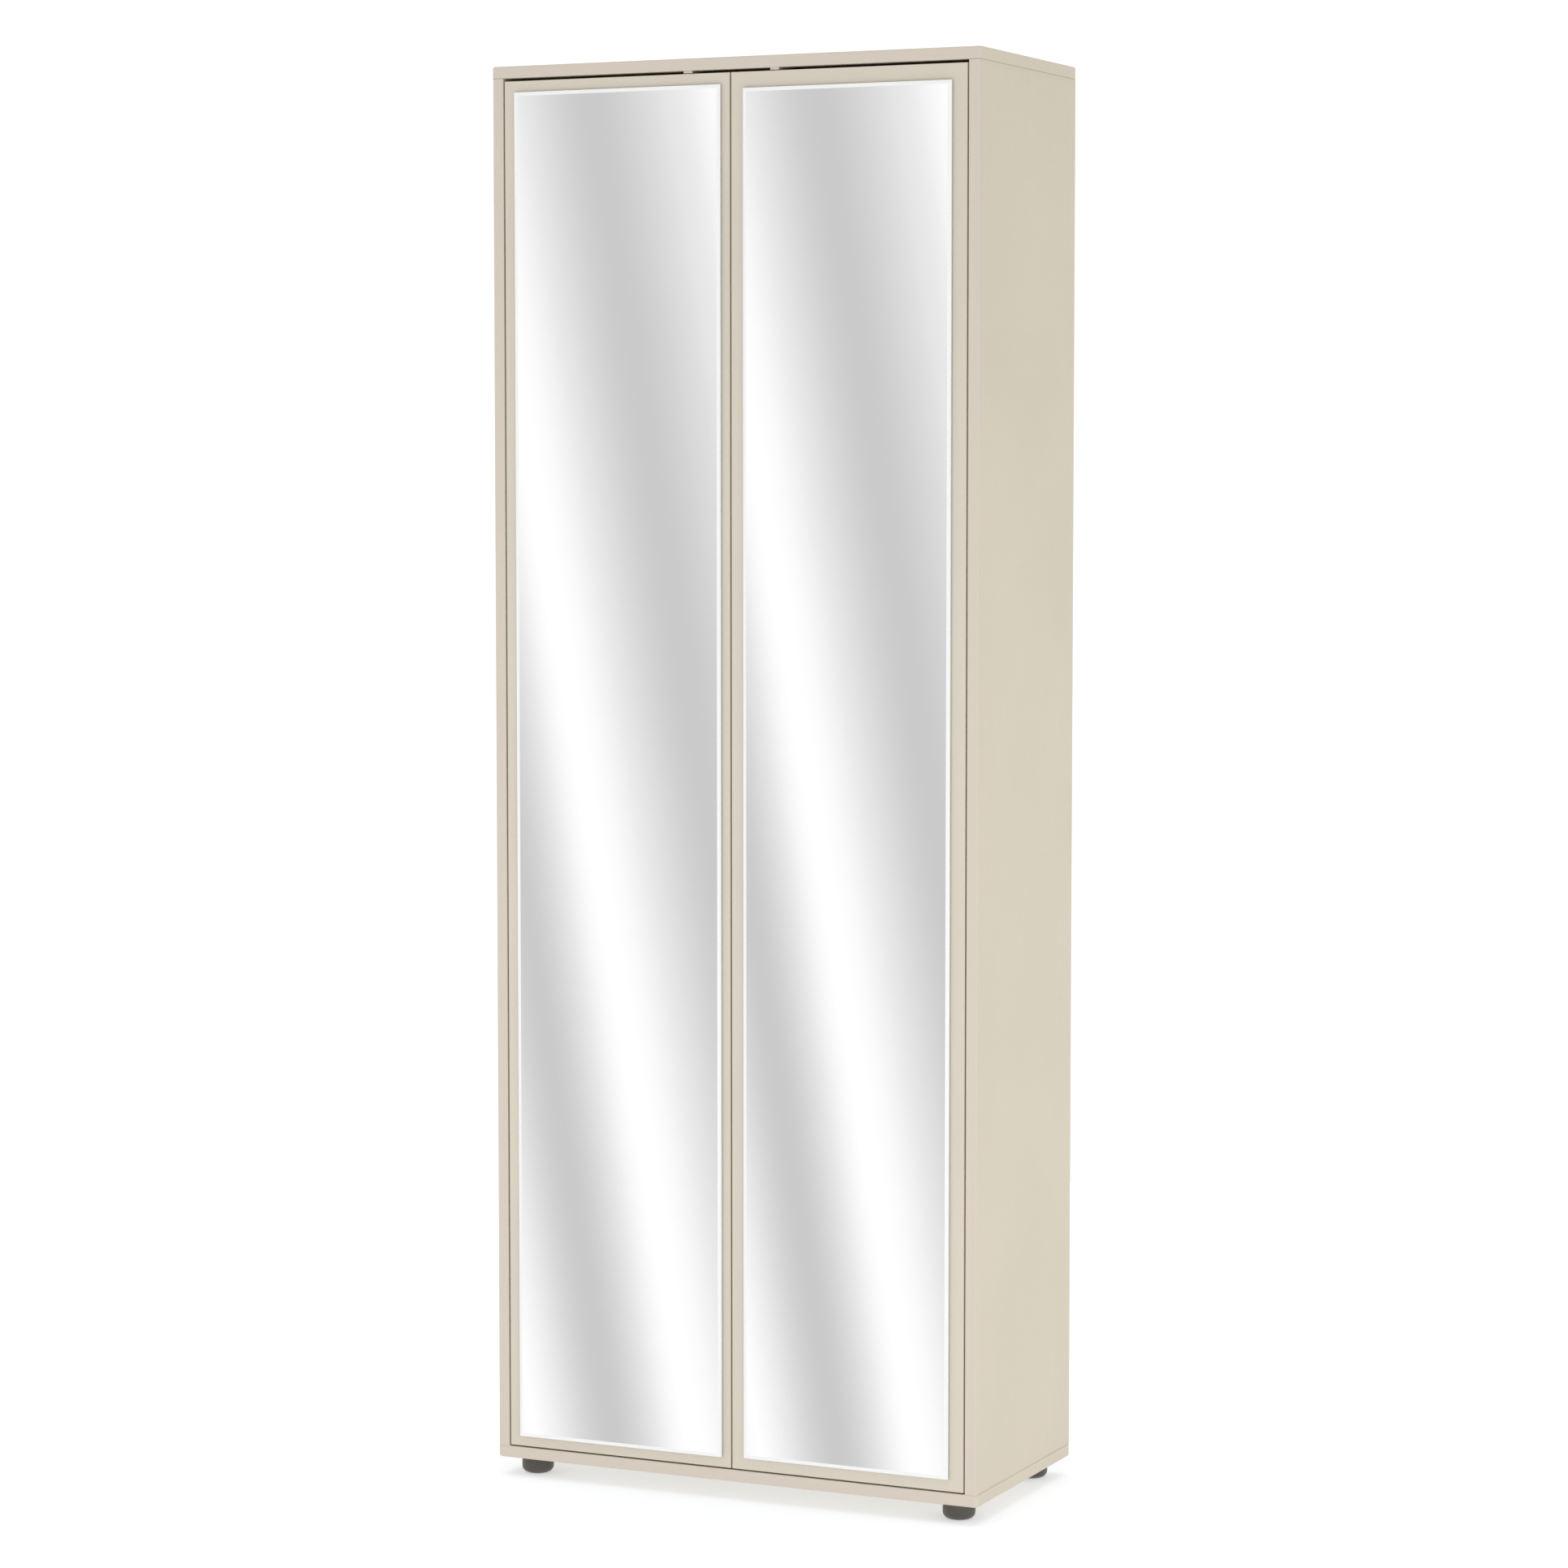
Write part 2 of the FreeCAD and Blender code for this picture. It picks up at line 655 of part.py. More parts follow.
def upright_rectangle(body, name, y, low_x, high_x, low_z, high_z):
    """A rectangle in an upright plane across the cabinet, bound on all four sides."""
    sketch = body.newObject("Sketcher::SketchObject", name)
    sketch.AttachmentSupport = [(origin_plane(body, "XZ_Plane"), "")]
    sketch.MapMode = "FlatFace"
    sketch.setExpression(".AttachmentOffset.Base.z", linked(f"-({y})"))
    x1, x2, z1, z2 = (value(v) for v in (low_x, high_x, low_z, high_z))
    closed_outline(sketch, [(x1, z1), (x2, z1), (x2, z2), (x1, z2)])
    for line, way in ((0, "Horizontal"), (1, "Vertical"), (2, "Horizontal"), (3, "Vertical")):
        sketch.addConstraint(Sketcher.Constraint(way, line))
    for kind, at, text in (("DistanceX", (0, 1), low_x), ("DistanceY", (0, 1), low_z),
                           ("DistanceX", (1, 2), high_x), ("DistanceY", (1, 2), high_z)):
        bound(sketch, kind, (-1, 1, *at), text)
    return sketch


def door_panel(name):
    """The left door's board: padded, bored for four hinge cups, front edges eased."""
    body = doc.addObject("PartDesign::Body", name)
    outline = upright_rectangle(body, name + "_outline", "door_rear", "-inner + gap_side",
                                "-gap_centre / 2", "door_low", "door_high")
    pad = body.newObject("PartDesign::Pad", name + "_pad")
    pad.Profile = outline
    pad.setExpression("Length", linked("door_thickness"))
    doc.recompute()
    cups = body.newObject("Sketcher::SketchObject", name + "_cups")
    cups.AttachmentSupport = [(origin_plane(body, "XZ_Plane"), "")]
    cups.MapMode = "FlatFace"
    cups.setExpression(".AttachmentOffset.Base.z", linked("-(door_rear)"))
    for i in HINGES:
        height = f"hinge_low + {i} * hinge_pitch"
        centre = Vector(value("cup_x"), value(height), 0)
        cups.addGeometry(Part.Circle(centre, Vector(0, 0, 1), value("cup_radius")), False)
        bound(cups, "Radius", (i,), "cup_radius")
        bound(cups, "DistanceX", (-1, 1, i, 3), "cup_x")
        bound(cups, "DistanceY", (-1, 1, i, 3), height)
    bores = body.newObject("PartDesign::Pocket", name + "_bores")
    bores.Profile = cups
    bores.Reversed = True
    bores.setExpression("Length", linked("cup_depth"))
    doc.recompute()
    if bores.Shape.Volume > pad.Shape.Volume - 1000:
        raise RuntimeError("the hinge cups' pockets cut nothing")
    rim = [f"Edge{i}" for i, e in enumerate(bores.Shape.Edges, start=1)
           if lies_on(e.BoundBox, "Y", value("front"))]
    eased = body.newObject("PartDesign::Fillet", name + "_eased")
    eased.Base = (bores, rim)
    eased.setExpression("Radius", linked("door_round"))
    body.Tip = eased
    return body


EAR_SHIFT = 6.0
cup_screw_places = [("cup_x", f"hinge_low + {i} * hinge_pitch + {way} * ear_screw")
                    for i in HINGES for way in (-1, 1)]
CUP_HOLE_DEPTH = 10.0
cup_screw_holes = [rod(f"cup_screw_hole_{n}", CUP_SCREW["shank_radius"], CUP_HOLE_DEPTH,
                       (f"{x} + {EAR_SHIFT}", f"door_rear - {CUP_HOLE_DEPTH}", z), "y")
                   for n, (x, z) in enumerate(cup_screw_places)]
both(cut("door_drilled", door_panel("Door"), cup_screw_holes), "door_panel")

cup_screw_face = f"door_rear + flange + {CUP_SCREW['head']}"
both(made("CupScrews", [screw(tip=point(f"{x} + {EAR_SHIFT}", cup_screw_face, z),
                              direction=(0, -1, 0), **CUP_SCREW)
                        for x, z in cup_screw_places]), "cup_screws")


# ---------------------------------------------------------------- mirrors and tape

def mirror_glass(name, low_x, high_x, low_z, high_z):
    """Flat glass with a wide shallow bevel all round its front."""
    body = doc.addObject("PartDesign::Body", name)
    step = "front - tape - glass + bevel_drop"
    outline = upright_rectangle(body, name + "_outline", "front - tape", low_x, high_x, low_z, high_z)
    pad = body.newObject("PartDesign::Pad", name + "_pad")
    pad.Profile = outline
    pad.setExpression("Length", linked("glass - bevel_drop"))
    foot_of_bevel = upright_rectangle(body, name + "_low", step, low_x, high_x, low_z, high_z)
    face = upright_rectangle(body, name + "_face", "front - tape - glass",
                             f"{low_x} + bevel_width", f"{high_x} - bevel_width",
                             f"{low_z} + bevel_width", f"{high_z} - bevel_width")
    bevel = body.newObject("PartDesign::AdditiveLoft", name + "_bevel")
    bevel.Profile = foot_of_bevel
    bevel.Sections = [face]
    bevel.Ruled = True
    body.Tip = bevel
    return body


MIRROR_SPANS = {
    "left": ("-left_mirror_far", "-left_mirror_near"),
    "right": ("right_mirror_near", "right_mirror_far"),
}
TAPE_MARGIN = 30.0
for side, (low_x, high_x) in MIRROR_SPANS.items():
    low_z = f"foot_height + {side}_mirror_low"
    high_z = f"foot_height + {side}_mirror_high"
    keep(mirror_glass(f"Mirror_{side}", low_x, high_x, low_z, high_z), f"{side}_mirror")
    middle_x = f"({low_x} + {high_x}) / 2"
    tape_length = f"{high_z} - ({low_z}) - 2 * {TAPE_MARGIN}"
    strips = [box(f"tape_{side}_{n}", ("tape_width", "tape", tape_length),
                  (x, "front - tape", f"{low_z} + {TAPE_MARGIN}"))
              for n, x in enumerate((f"{low_x} + {TAPE_MARGIN}", f"{middle_x} - tape_width / 2",
                                     f"{high_x} - {TAPE_MARGIN} - tape_width"))]
    keep(together(f"tape_{side}", strips), f"{side}_mirror_tape")


# ---------------------------------------------------------------- hinges

EAR_WIDTH = 14.0
CUP_FLOOR = 0.8
LUG = (7.0, 6.5, 1.5)
LUG_LEVELS = (7.0, -8.5)
LUG_SINK = 0.4
PLATE_HALF = 9.0
PLATE_BASE = (33.0, 40.0)
WINGS = (14.0, 48.0)
RAIL = (36.0, 34.0)
RAIL_TOP = 4.4
RAIL_HALF = 5.0
CHEEK = 1.2
CHEEK_START = 30.0
CHEEK_INSIDE = 5.4
CHEEK_CLEAR = 0.2
ARM_LOW = 4.6
ARM_END = 72.0
CROSS_Y = 24.5
ADJUSTERS = (44.0, 62.0)
ADJUSTER_RADIUS = 2.0
EYE_RADIUS = 2.9
NOSE_HALF = 1.25
NOSE_ANGLE = 15.0
NOSE_OVERLAP = 1.5
NOSE_TURN = Rotation(Vector(0, 0, 1), NOSE_ANGLE)
NOSE_CORNER = NOSE_TURN.multVec(Vector(0, -NOSE_HALF, 0))
PIN_HALF = 9.5


def hinge_cup(name, z):
    """A pressed cup with screw ears and two lugs that hold the pivot pin."""
    base_y = "door_rear - cup_depth"
    outer = fuse(name + "_outer", [
        rod(name + "_can", "cup_radius", "cup_depth", ("cup_x", base_y, z), "y"),
        rod(name + "_rim", "flange_radius", "flange", ("cup_x", "door_rear", z), "y"),
        box(name + "_ears", (EAR_WIDTH, "flange", "2 * ear_reach"),
            (f"cup_x + {EAR_SHIFT} - {EAR_WIDTH} / 2", "door_rear", f"{z} - ear_reach")),
    ])
    hollow = rod(name + "_hollow", "cup_radius - cup_wall", "cup_depth + flange",
                 ("cup_x", f"{base_y} + {CUP_FLOOR}", z), "y")
    shell = cut(name + "_shell", outer, [hollow])
    lugs = [box(f"{name}_lug_{n}", LUG,
                (f"pivot_x - {LUG[0]} / 2", f"{base_y} + {LUG_SINK}", f"{z} + {low}"))
            for n, low in enumerate(LUG_LEVELS)]
    whole = fuse(name + "_whole", [shell, *lugs])
    holes = [rod(name + "_pin_hole", "pivot_pin", 2 * PIN_HALF,
                 ("pivot_x", "pivot_y", f"{z} - {PIN_HALF}"))]
    holes += [rod(f"{name}_ear_hole_{n}", CUP_SCREW["shank_radius"], "flange + 2",
                  (f"cup_x + {EAR_SHIFT}", "door_rear - 1", f"{z} + {way} * ear_screw"), "y")
              for n, way in enumerate((-1, 1))]
    return cut(name, whole, holes)


def hinge_arm(name, z):
    """A cranked arm: an eye in the cup, a gooseneck round the door's edge, a channel behind it."""
    low_z = f"{z} - arm_half"
    wide = "2 * arm_half"
    nose = box(name + "_nose", (f"bend_radius + {NOSE_OVERLAP}", 2 * NOSE_HALF, wide),
               (f"pivot_x + {NOSE_CORNER.x:.4f}", f"pivot_y - {-NOSE_CORNER.y:.4f}", low_z),
               NOSE_TURN)
    sweep = doc.addObject("Part::Cylinder", name + "_sweep")
    sweep.setExpression("Radius", linked("bend_radius + arm_gauge"))
    sweep.setExpression("Height", linked(wide))
    sweep.Angle = 90 - NOSE_ANGLE
    place(sweep, ("pivot_x", "pivot_y", low_z), NOSE_TURN)
    core = rod(name + "_core", "bend_radius", wide, ("pivot_x", "pivot_y", low_z))
    neck = cut(name + "_neck", sweep, [core])
    across = f"gap_side + pivot_edge - {ARM_LOW}"
    cross_corner = (f"-inner + {ARM_LOW}", f"front + {CROSS_Y}", low_z)
    cheek_height = f"{ARM_LOW - PLATE_GAUGE - CHEEK_CLEAR} + arm_gauge"
    parts = [
        rod(name + "_eye", EYE_RADIUS, wide, ("pivot_x", "pivot_y", low_z)),
        nose,
        neck,
        box(name + "_across", (across, "arm_gauge", wide), cross_corner),
        box(name + "_along", ("arm_gauge", ARM_END - CROSS_Y, wide), cross_corner),
    ]
    parts += [box(f"{name}_cheek_{n}", (cheek_height, ARM_END - CHEEK_START, CHEEK),
                  (f"-inner + {PLATE_GAUGE + CHEEK_CLEAR}", f"front + {CHEEK_START}",
                   f"{z} + {low}"))
              for n, low in enumerate((CHEEK_INSIDE, -CHEEK_INSIDE - CHEEK))]
    holes = [rod(name + "_eye_hole", "pivot_pin + pivot_play", "2 * arm_half + 2",
                 ("pivot_x", "pivot_y", f"{z} - arm_half - 1"))]
    holes += [rod(f"{name}_adjuster_hole_{n}", ADJUSTER_RADIUS, "arm_gauge + 2",
                  (f"-inner + {ARM_LOW - 1}", f"front + {y}", z), "x")
              for n, y in enumerate(ADJUSTERS)]
    return cut(name, fuse(name + "_whole", parts), holes)


def hinge_plate(name, z):
    """A cross-shaped mounting plate with the rail that the arm clips over."""
    whole = fuse(name + "_whole", [
        box(name + "_base", (PLATE_GAUGE, PLATE_BASE[1], 2 * PLATE_HALF),
            ("-inner", f"front + {PLATE_BASE[0]}", f"{z} - {PLATE_HALF}")),
        box(name + "_wings", (PLATE_GAUGE, *WINGS),
            ("-inner", f"front + {PLATE_Y} - {WINGS[0]} / 2", f"{z} - {WINGS[1]} / 2")),
        box(name + "_rail", (RAIL_TOP, RAIL[1], 2 * RAIL_HALF),
            ("-inner", f"front + {RAIL[0]}", f"{z} - {RAIL_HALF}")),
    ])
    holes = [rod(f"{name}_screw_hole_{n}", PLATE_SCREW["shank_radius"], PLATE_GAUGE + 2,
                 ("-inner - 1", f"front + {PLATE_Y}", f"{z} + {way} * {PLATE_SCREW_Z}"), "x")
             for n, way in enumerate((-1, 1))]
    holes += [rod(f"{name}_adjuster_hole_{n}", ADJUSTER_RADIUS, RAIL_TOP,
                  ("-inner + 1", f"front + {y}", z), "x")
              for n, y in enumerate(ADJUSTERS)]
    return cut(name, whole, holes)


plates = []
pins = []
for i in HINGES:
    height = f"hinge_low + {i} * hinge_pitch"
    both(hinge_cup(f"Cup_{i + 1}", height), f"hinge_cup_{i + 1}")
    both(hinge_arm(f"Arm_{i + 1}", height), f"hinge_arm_{i + 1}")
    plates.append(hinge_plate(f"Plate_{i + 1}", height))
    pins.append(rod(f"Pin_{i + 1}", "pivot_pin", 2 * PIN_HALF,
                    ("pivot_x", "pivot_y", f"{height} - {PIN_HALF}")))
both(together("Pins_of_hinges", pins), "hinge_pins")
both(together("Plates", plates), "hinge_plates")

ADJUSTER_HEAD = (3.0, 1.5)
arm_top = ARM_LOW + value("arm_gauge")


def adjuster(side, y, z):
    """An adjusting screw through a hinge arm into its plate."""
    x = side * (value("inner") - arm_top - ADJUSTER_HEAD[1])
    return screw(*ADJUSTER_HEAD, ADJUSTER_RADIUS, arm_top - PLATE_GAUGE,
                 Vector(x, value("front") + y, z), (side, 0, 0))


keep(made("Adjusters", [adjuster(side, y, z)
                        for side in (-1, 1) for z in hinge_heights for y in ADJUSTERS]),
     "hinge_adjusters")


# ---------------------------------------------------------------- push latches

LATCH_CLEAR = 2.0
PLUNGER_SHOW = 0.1
PLUNGER_LENGTH = 42.0
BORE_PLAY = 0.3
TAB_REACH = 14.0
TAB_WIDTH = 10.0
TAB_STARTS = (15.0, 57.0)
LIP_BACK = 2.0
LIP_GAUGE = 3.0
STRIKE_SIZE = (20.0, 11.0)
STRIKE_DROP = 6.0

latch_front = f"door_rear + {LATCH_CLEAR}"


def latch_housing(name, x, screw_places):
    """A push latch's case: bored for its plunger, with two screw tabs and a lip over the door."""
    block = fuse(name + "_block", [
        box(name + "_case", ("latch_width", f"latch_length - {LATCH_CLEAR}", "latch_height"),
            (f"{x} - latch_width / 2", latch_front, "ceiling - latch_height")),
        box(name + "_lip",
            ("latch_width", f"door_thickness + {LATCH_CLEAR - LIP_BACK}", LIP_GAUGE),
            (f"{x} - latch_width / 2", f"front + {LIP_BACK}", f"ceiling - {LIP_GAUGE}")),
        box(name + "_tab_front", (TAB_REACH, TAB_WIDTH, SCREW_TAB),
            (f"{x} - {TAB_REACH}", f"door_rear + {TAB_STARTS[0]}", f"ceiling - {SCREW_TAB}")),
        box(name + "_tab_rear", (TAB_REACH, TAB_WIDTH, SCREW_TAB),
            (x, f"door_rear + {TAB_STARTS[1]}", f"ceiling - {SCREW_TAB}")),
    ])
    bore = rod(name + "_bore", f"plunger_radius + {BORE_PLAY}", PLUNGER_LENGTH + 4,
               (x, latch_front, "plunger_z"), "y")
    return cut(name, block, [bore, tab_holes(name + "_screw_holes", screw_places)])


for side, x in (("left", "-latch_offset"), ("right", "latch_offset")):
    own_screws = [(at, y) for at, y in latch_screw_places if (at < 0) == (side == "left")]
    keep(latch_housing(f"Latch_{side}", x, own_screws), f"{side}_latch_housing")

both(rod("Plunger", "plunger_radius", PLUNGER_LENGTH,
         ("-latch_offset", f"door_rear + strike + {PLUNGER_SHOW}", "plunger_z"), "y"),
     "latch_plunger")
both(box("Strike", (STRIKE_SIZE[0], "strike", STRIKE_SIZE[1]),
         (f"-latch_offset - {STRIKE_SIZE[0]} / 2", "door_rear", f"plunger_z - {STRIKE_DROP}")),
     "strike_plate")


# ---------------------------------------------------------------- checks and files

doc.recompute()
for obj in doc.Objects:
    if {"Invalid", "Error"} & set(obj.State):
        raise RuntimeError(f"{obj.Name} did not compute: {obj.State}")
os.makedirs("parts", exist_ok=True)
labels = [obj.Label for obj in pieces]
if len(set(labels)) != len(labels) or len(labels) > 60:
    raise RuntimeError(f"{len(labels)} pieces, and their names must differ")
for obj in pieces:
    if obj.Shape.isNull() or not obj.Shape.isValid() or not obj.Shape.Solids:
        raise RuntimeError(f"{obj.Label} has no valid solid")
    obj.Shape.exportStep(f"parts/{obj.Label}.step")
print(f"{len(pieces)} pieces written")
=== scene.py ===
"""The looks of the mirrored armoire: its finishes, its finer pieces, the studio and the camera."""

import logging
import math
from dataclasses import dataclass
from enum import Enum
from typing import Any, Iterable, Sequence

import bmesh
import bpy
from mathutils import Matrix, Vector

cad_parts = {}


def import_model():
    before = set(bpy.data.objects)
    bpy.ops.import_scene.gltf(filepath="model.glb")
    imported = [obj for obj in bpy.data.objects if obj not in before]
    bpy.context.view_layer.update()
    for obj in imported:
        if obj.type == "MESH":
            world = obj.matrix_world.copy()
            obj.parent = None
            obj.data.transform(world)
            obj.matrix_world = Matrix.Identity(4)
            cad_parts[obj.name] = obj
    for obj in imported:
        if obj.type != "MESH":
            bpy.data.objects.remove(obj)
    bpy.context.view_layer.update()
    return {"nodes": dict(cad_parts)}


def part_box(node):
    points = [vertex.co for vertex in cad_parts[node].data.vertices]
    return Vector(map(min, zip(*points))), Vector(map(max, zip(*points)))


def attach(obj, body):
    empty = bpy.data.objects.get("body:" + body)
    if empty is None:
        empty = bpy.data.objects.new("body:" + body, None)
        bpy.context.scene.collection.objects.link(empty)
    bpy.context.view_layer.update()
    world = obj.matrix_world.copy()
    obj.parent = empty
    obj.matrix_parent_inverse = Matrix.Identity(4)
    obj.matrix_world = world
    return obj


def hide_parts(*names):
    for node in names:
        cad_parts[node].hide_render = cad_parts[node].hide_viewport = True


LOG = logging.getLogger("armoire")
MM = 0.001
Rgb = tuple[float, float, float]
Stops = Sequence[tuple[float, float]]


class Side(Enum):
    """The two doors, as a person facing the cabinet sees them."""

    LEFT = "left"
    RIGHT = "right"

    @property
    def door(self) -> "Body":
        """The body that this side's door pieces ride on."""
        return Body.LEFT_DOOR if self is Side.LEFT else Body.RIGHT_DOOR


class Body(Enum):
    """The bodies that the finer pieces ride on."""

    CABINET = "cabinet"
    LEFT_DOOR = "left_door"
    RIGHT_DOOR = "right_door"


class Axis(Enum):
    """The frame's axes, by their place in a vector."""

    X = 0
    Y = 1
    Z = 2


class Grain(Enum):
    """Which way a drawn or sawn surface runs."""

    ALONG_X = (0.04, 1.0, 1.0)
    ALONG_Y = (1.0, 0.04, 1.0)
    EVEN = (1.0, 1.0, 1.0)


SCREW_NODES = {
    "foot_screws": Body.CABINET,
    "latch_screws": Body.CABINET,
    "anti_tip_screws": Body.CABINET,
    "hinge_plate_screws": Body.CABINET,
    "hinge_adjusters": Body.CABINET,
    "left_cup_screws": Body.LEFT_DOOR,
    "right_cup_screws": Body.RIGHT_DOOR,
}


# ---------------------------------------------------------------- node sheets


class NodeSheet:
    """A material's nodes, written with short calls."""

    def __init__(self, name: str) -> None:
        """Starts a material of that name with one principled shader."""
        self.material = bpy.data.materials.new(name)
        self.material.use_nodes = True
        self.tree = self.material.node_tree
        self.tree.nodes.clear()
        self.shader = self.tree.nodes.new("ShaderNodeBsdfPrincipled")
        out = self.tree.nodes.new("ShaderNodeOutputMaterial")
        self.tree.links.new(self.shader.outputs["BSDF"], out.inputs["Surface"])
        self.coordinates = self.tree.nodes.new("ShaderNodeTexCoord")

    def wire(self, source: Any, target: Any) -> None:
        """Joins an output to an input, or sets the input to a plain value."""
        if isinstance(source, bpy.types.NodeSocket):
            self.tree.links.new(source, target)
        else:
            target.default_value = source

    def gloss(self, level: float) -> None:
        """Sets how strongly the surface shines, 0.5 being common plastic."""
        self.shader.inputs["Specular IOR Level"].default_value = level

    def metal(self, share: float = 1.0) -> None:
        """Makes the shader a metal, or partly one."""
        self.shader.inputs["Metallic"].default_value = share

    def place(self, stretch: Sequence[float] = (1.0, 1.0, 1.0)) -> Any:
        """The model's own coordinates in metres, stretched.

        Args:
            stretch: the factor along each axis.

        Returns:
            The vector output.
        """
        node = self.tree.nodes.new("ShaderNodeVectorMath")
        node.operation = "MULTIPLY"
        self.wire(self.coordinates.outputs["Object"], node.inputs[0])
        node.inputs[1].default_value = tuple(stretch)
        return node.outputs[0]

    def noise(self, scale: float, detail: float = 3.0, grain: Grain = Grain.EVEN) -> Any:
        """Soft noise from 0 to 1.

        Args:
            scale: spots to the metre.
            detail: how many finer layers it has.
            grain: which way it is drawn out.

        Returns:
            The noise's value.
        """
        node = self.tree.nodes.new("ShaderNodeTexNoise")
        node.inputs["Scale"].default_value = scale
        node.inputs["Detail"].default_value = detail
        self.wire(self.place(grain.value), node.inputs["Vector"])
        return node.outputs["Fac"]

    def patches(self, scale: float, detail: float = 3.0, grain: Grain = Grain.EVEN) -> Any:
        """Noise with its middle stretched, so that it runs from 0 to 1.

        Args:
            scale: spots to the metre.
            detail: how many finer layers it has.
            grain: which way it is drawn out.

        Returns:
            The value's output.
        """
        return self.remap(self.noise(scale, detail, grain), 0.3, 0.7, 0.0, 1.0)

    def cells(self, scale: float) -> Any:
        """Small cells, dark in the middle.

        Args:
            scale: cells to the metre.

        Returns:
            The distance to the nearest cell's middle.
        """
        node = self.tree.nodes.new("ShaderNodeTexVoronoi")
        node.inputs["Scale"].default_value = scale
        self.wire(self.coordinates.outputs["Object"], node.inputs["Vector"])
        return node.outputs["Distance"]

    def axis(self, source: str, which: Axis) -> Any:
        """One part of a coordinate output.

        Args:
            source: "Object" or "Normal".
            which: the part that is wanted.

        Returns:
            The number's output.
        """
        node = self.tree.nodes.new("ShaderNodeSeparateXYZ")
        self.wire(self.coordinates.outputs[source], node.inputs[0])
        return node.outputs[which.value]

    def calc(self, operation: str, first: Any, second: Any = 0.0) -> Any:
        """A step of arithmetic.

        Args:
            operation: the math node's operation.
            first: an output or a number.
            second: an output or a number.

        Returns:
            The result's output.
        """
        node = self.tree.nodes.new("ShaderNodeMath")
        node.operation = operation
        self.wire(first, node.inputs[0])
        self.wire(second, node.inputs[1])
        return node.outputs[0]

    def remap(self, value: Any, low: float, high: float, to_low: float, to_high: float) -> Any:
        """A value's range turned into another, and held inside it.

        Args:
            value: the output to turn.
            low: the value that becomes to_low.
            high: the value that becomes to_high.
            to_low: the first end of the new range.
            to_high: the other end of the new range.

        Returns:
            The result's output.
        """
        node = self.tree.nodes.new("ShaderNodeMapRange")
        self.wire(value, node.inputs["Value"])
        for name, number in (
            ("From Min", low),
            ("From Max", high),
            ("To Min", to_low),
            ("To Max", to_high),
        ):
            node.inputs[name].default_value = number
        return node.outputs["Result"]

    def mix(self, factor: Any, first: Any, second: Any) -> Any:
        """Two colours mixed.

        Args:
            factor: 0 for the first, 1 for the second.
            first: an output or a colour.
            second: an output or a colour.

        Returns:
            The colour's output.
        """
        node = self.tree.nodes.new("ShaderNodeMix")
        node.data_type = "RGBA"
        self.wire(factor, node.inputs[0])
        for value, socket in ((first, node.inputs[6]), (second, node.inputs[7])):
            self.wire((*value, 1.0) if isinstance(value, tuple) else value, socket)
        return node.outputs[2]

    def bump(self, height: Any, distance: float, strength: float, under: Any = None) -> Any:
        """Raises the surface by a height.

        Args:
            height: the height's output.
            distance: metres for a height of 1.
            strength: how much of it shows.
            under: another bump's output that this one lies on.

        Returns:
            The normal's output.
        """
        node = self.tree.nodes.new("ShaderNodeBump")
        node.inputs["Strength"].default_value = strength
        node.inputs["Distance"].default_value = distance
        self.wire(height, node.inputs["Height"])
        if under is not None:
            self.wire(under, node.inputs["Normal"])
        return node.outputs["Normal"]

    def dress(self, colour: Any, roughness: Any, normal: Any = None) -> bpy.types.Material:
        """Joins what was made to the shader.

        Args:
            colour: the base colour.
            roughness: the roughness.
            normal: the bumped normal.

        Returns:
            The finished material.
        """
        for name, value in (("Base Color", colour), ("Roughness", roughness), ("Normal", normal)):
            if value is not None:
                self.wire(value, self.shader.inputs[name])
        return self.material


# ------------------------------------------------------------------- finishes


def toned(colour: Rgb, factor: float) -> Rgb:
    """A colour made darker or lighter by a factor."""
    return tuple(part * factor for part in colour)


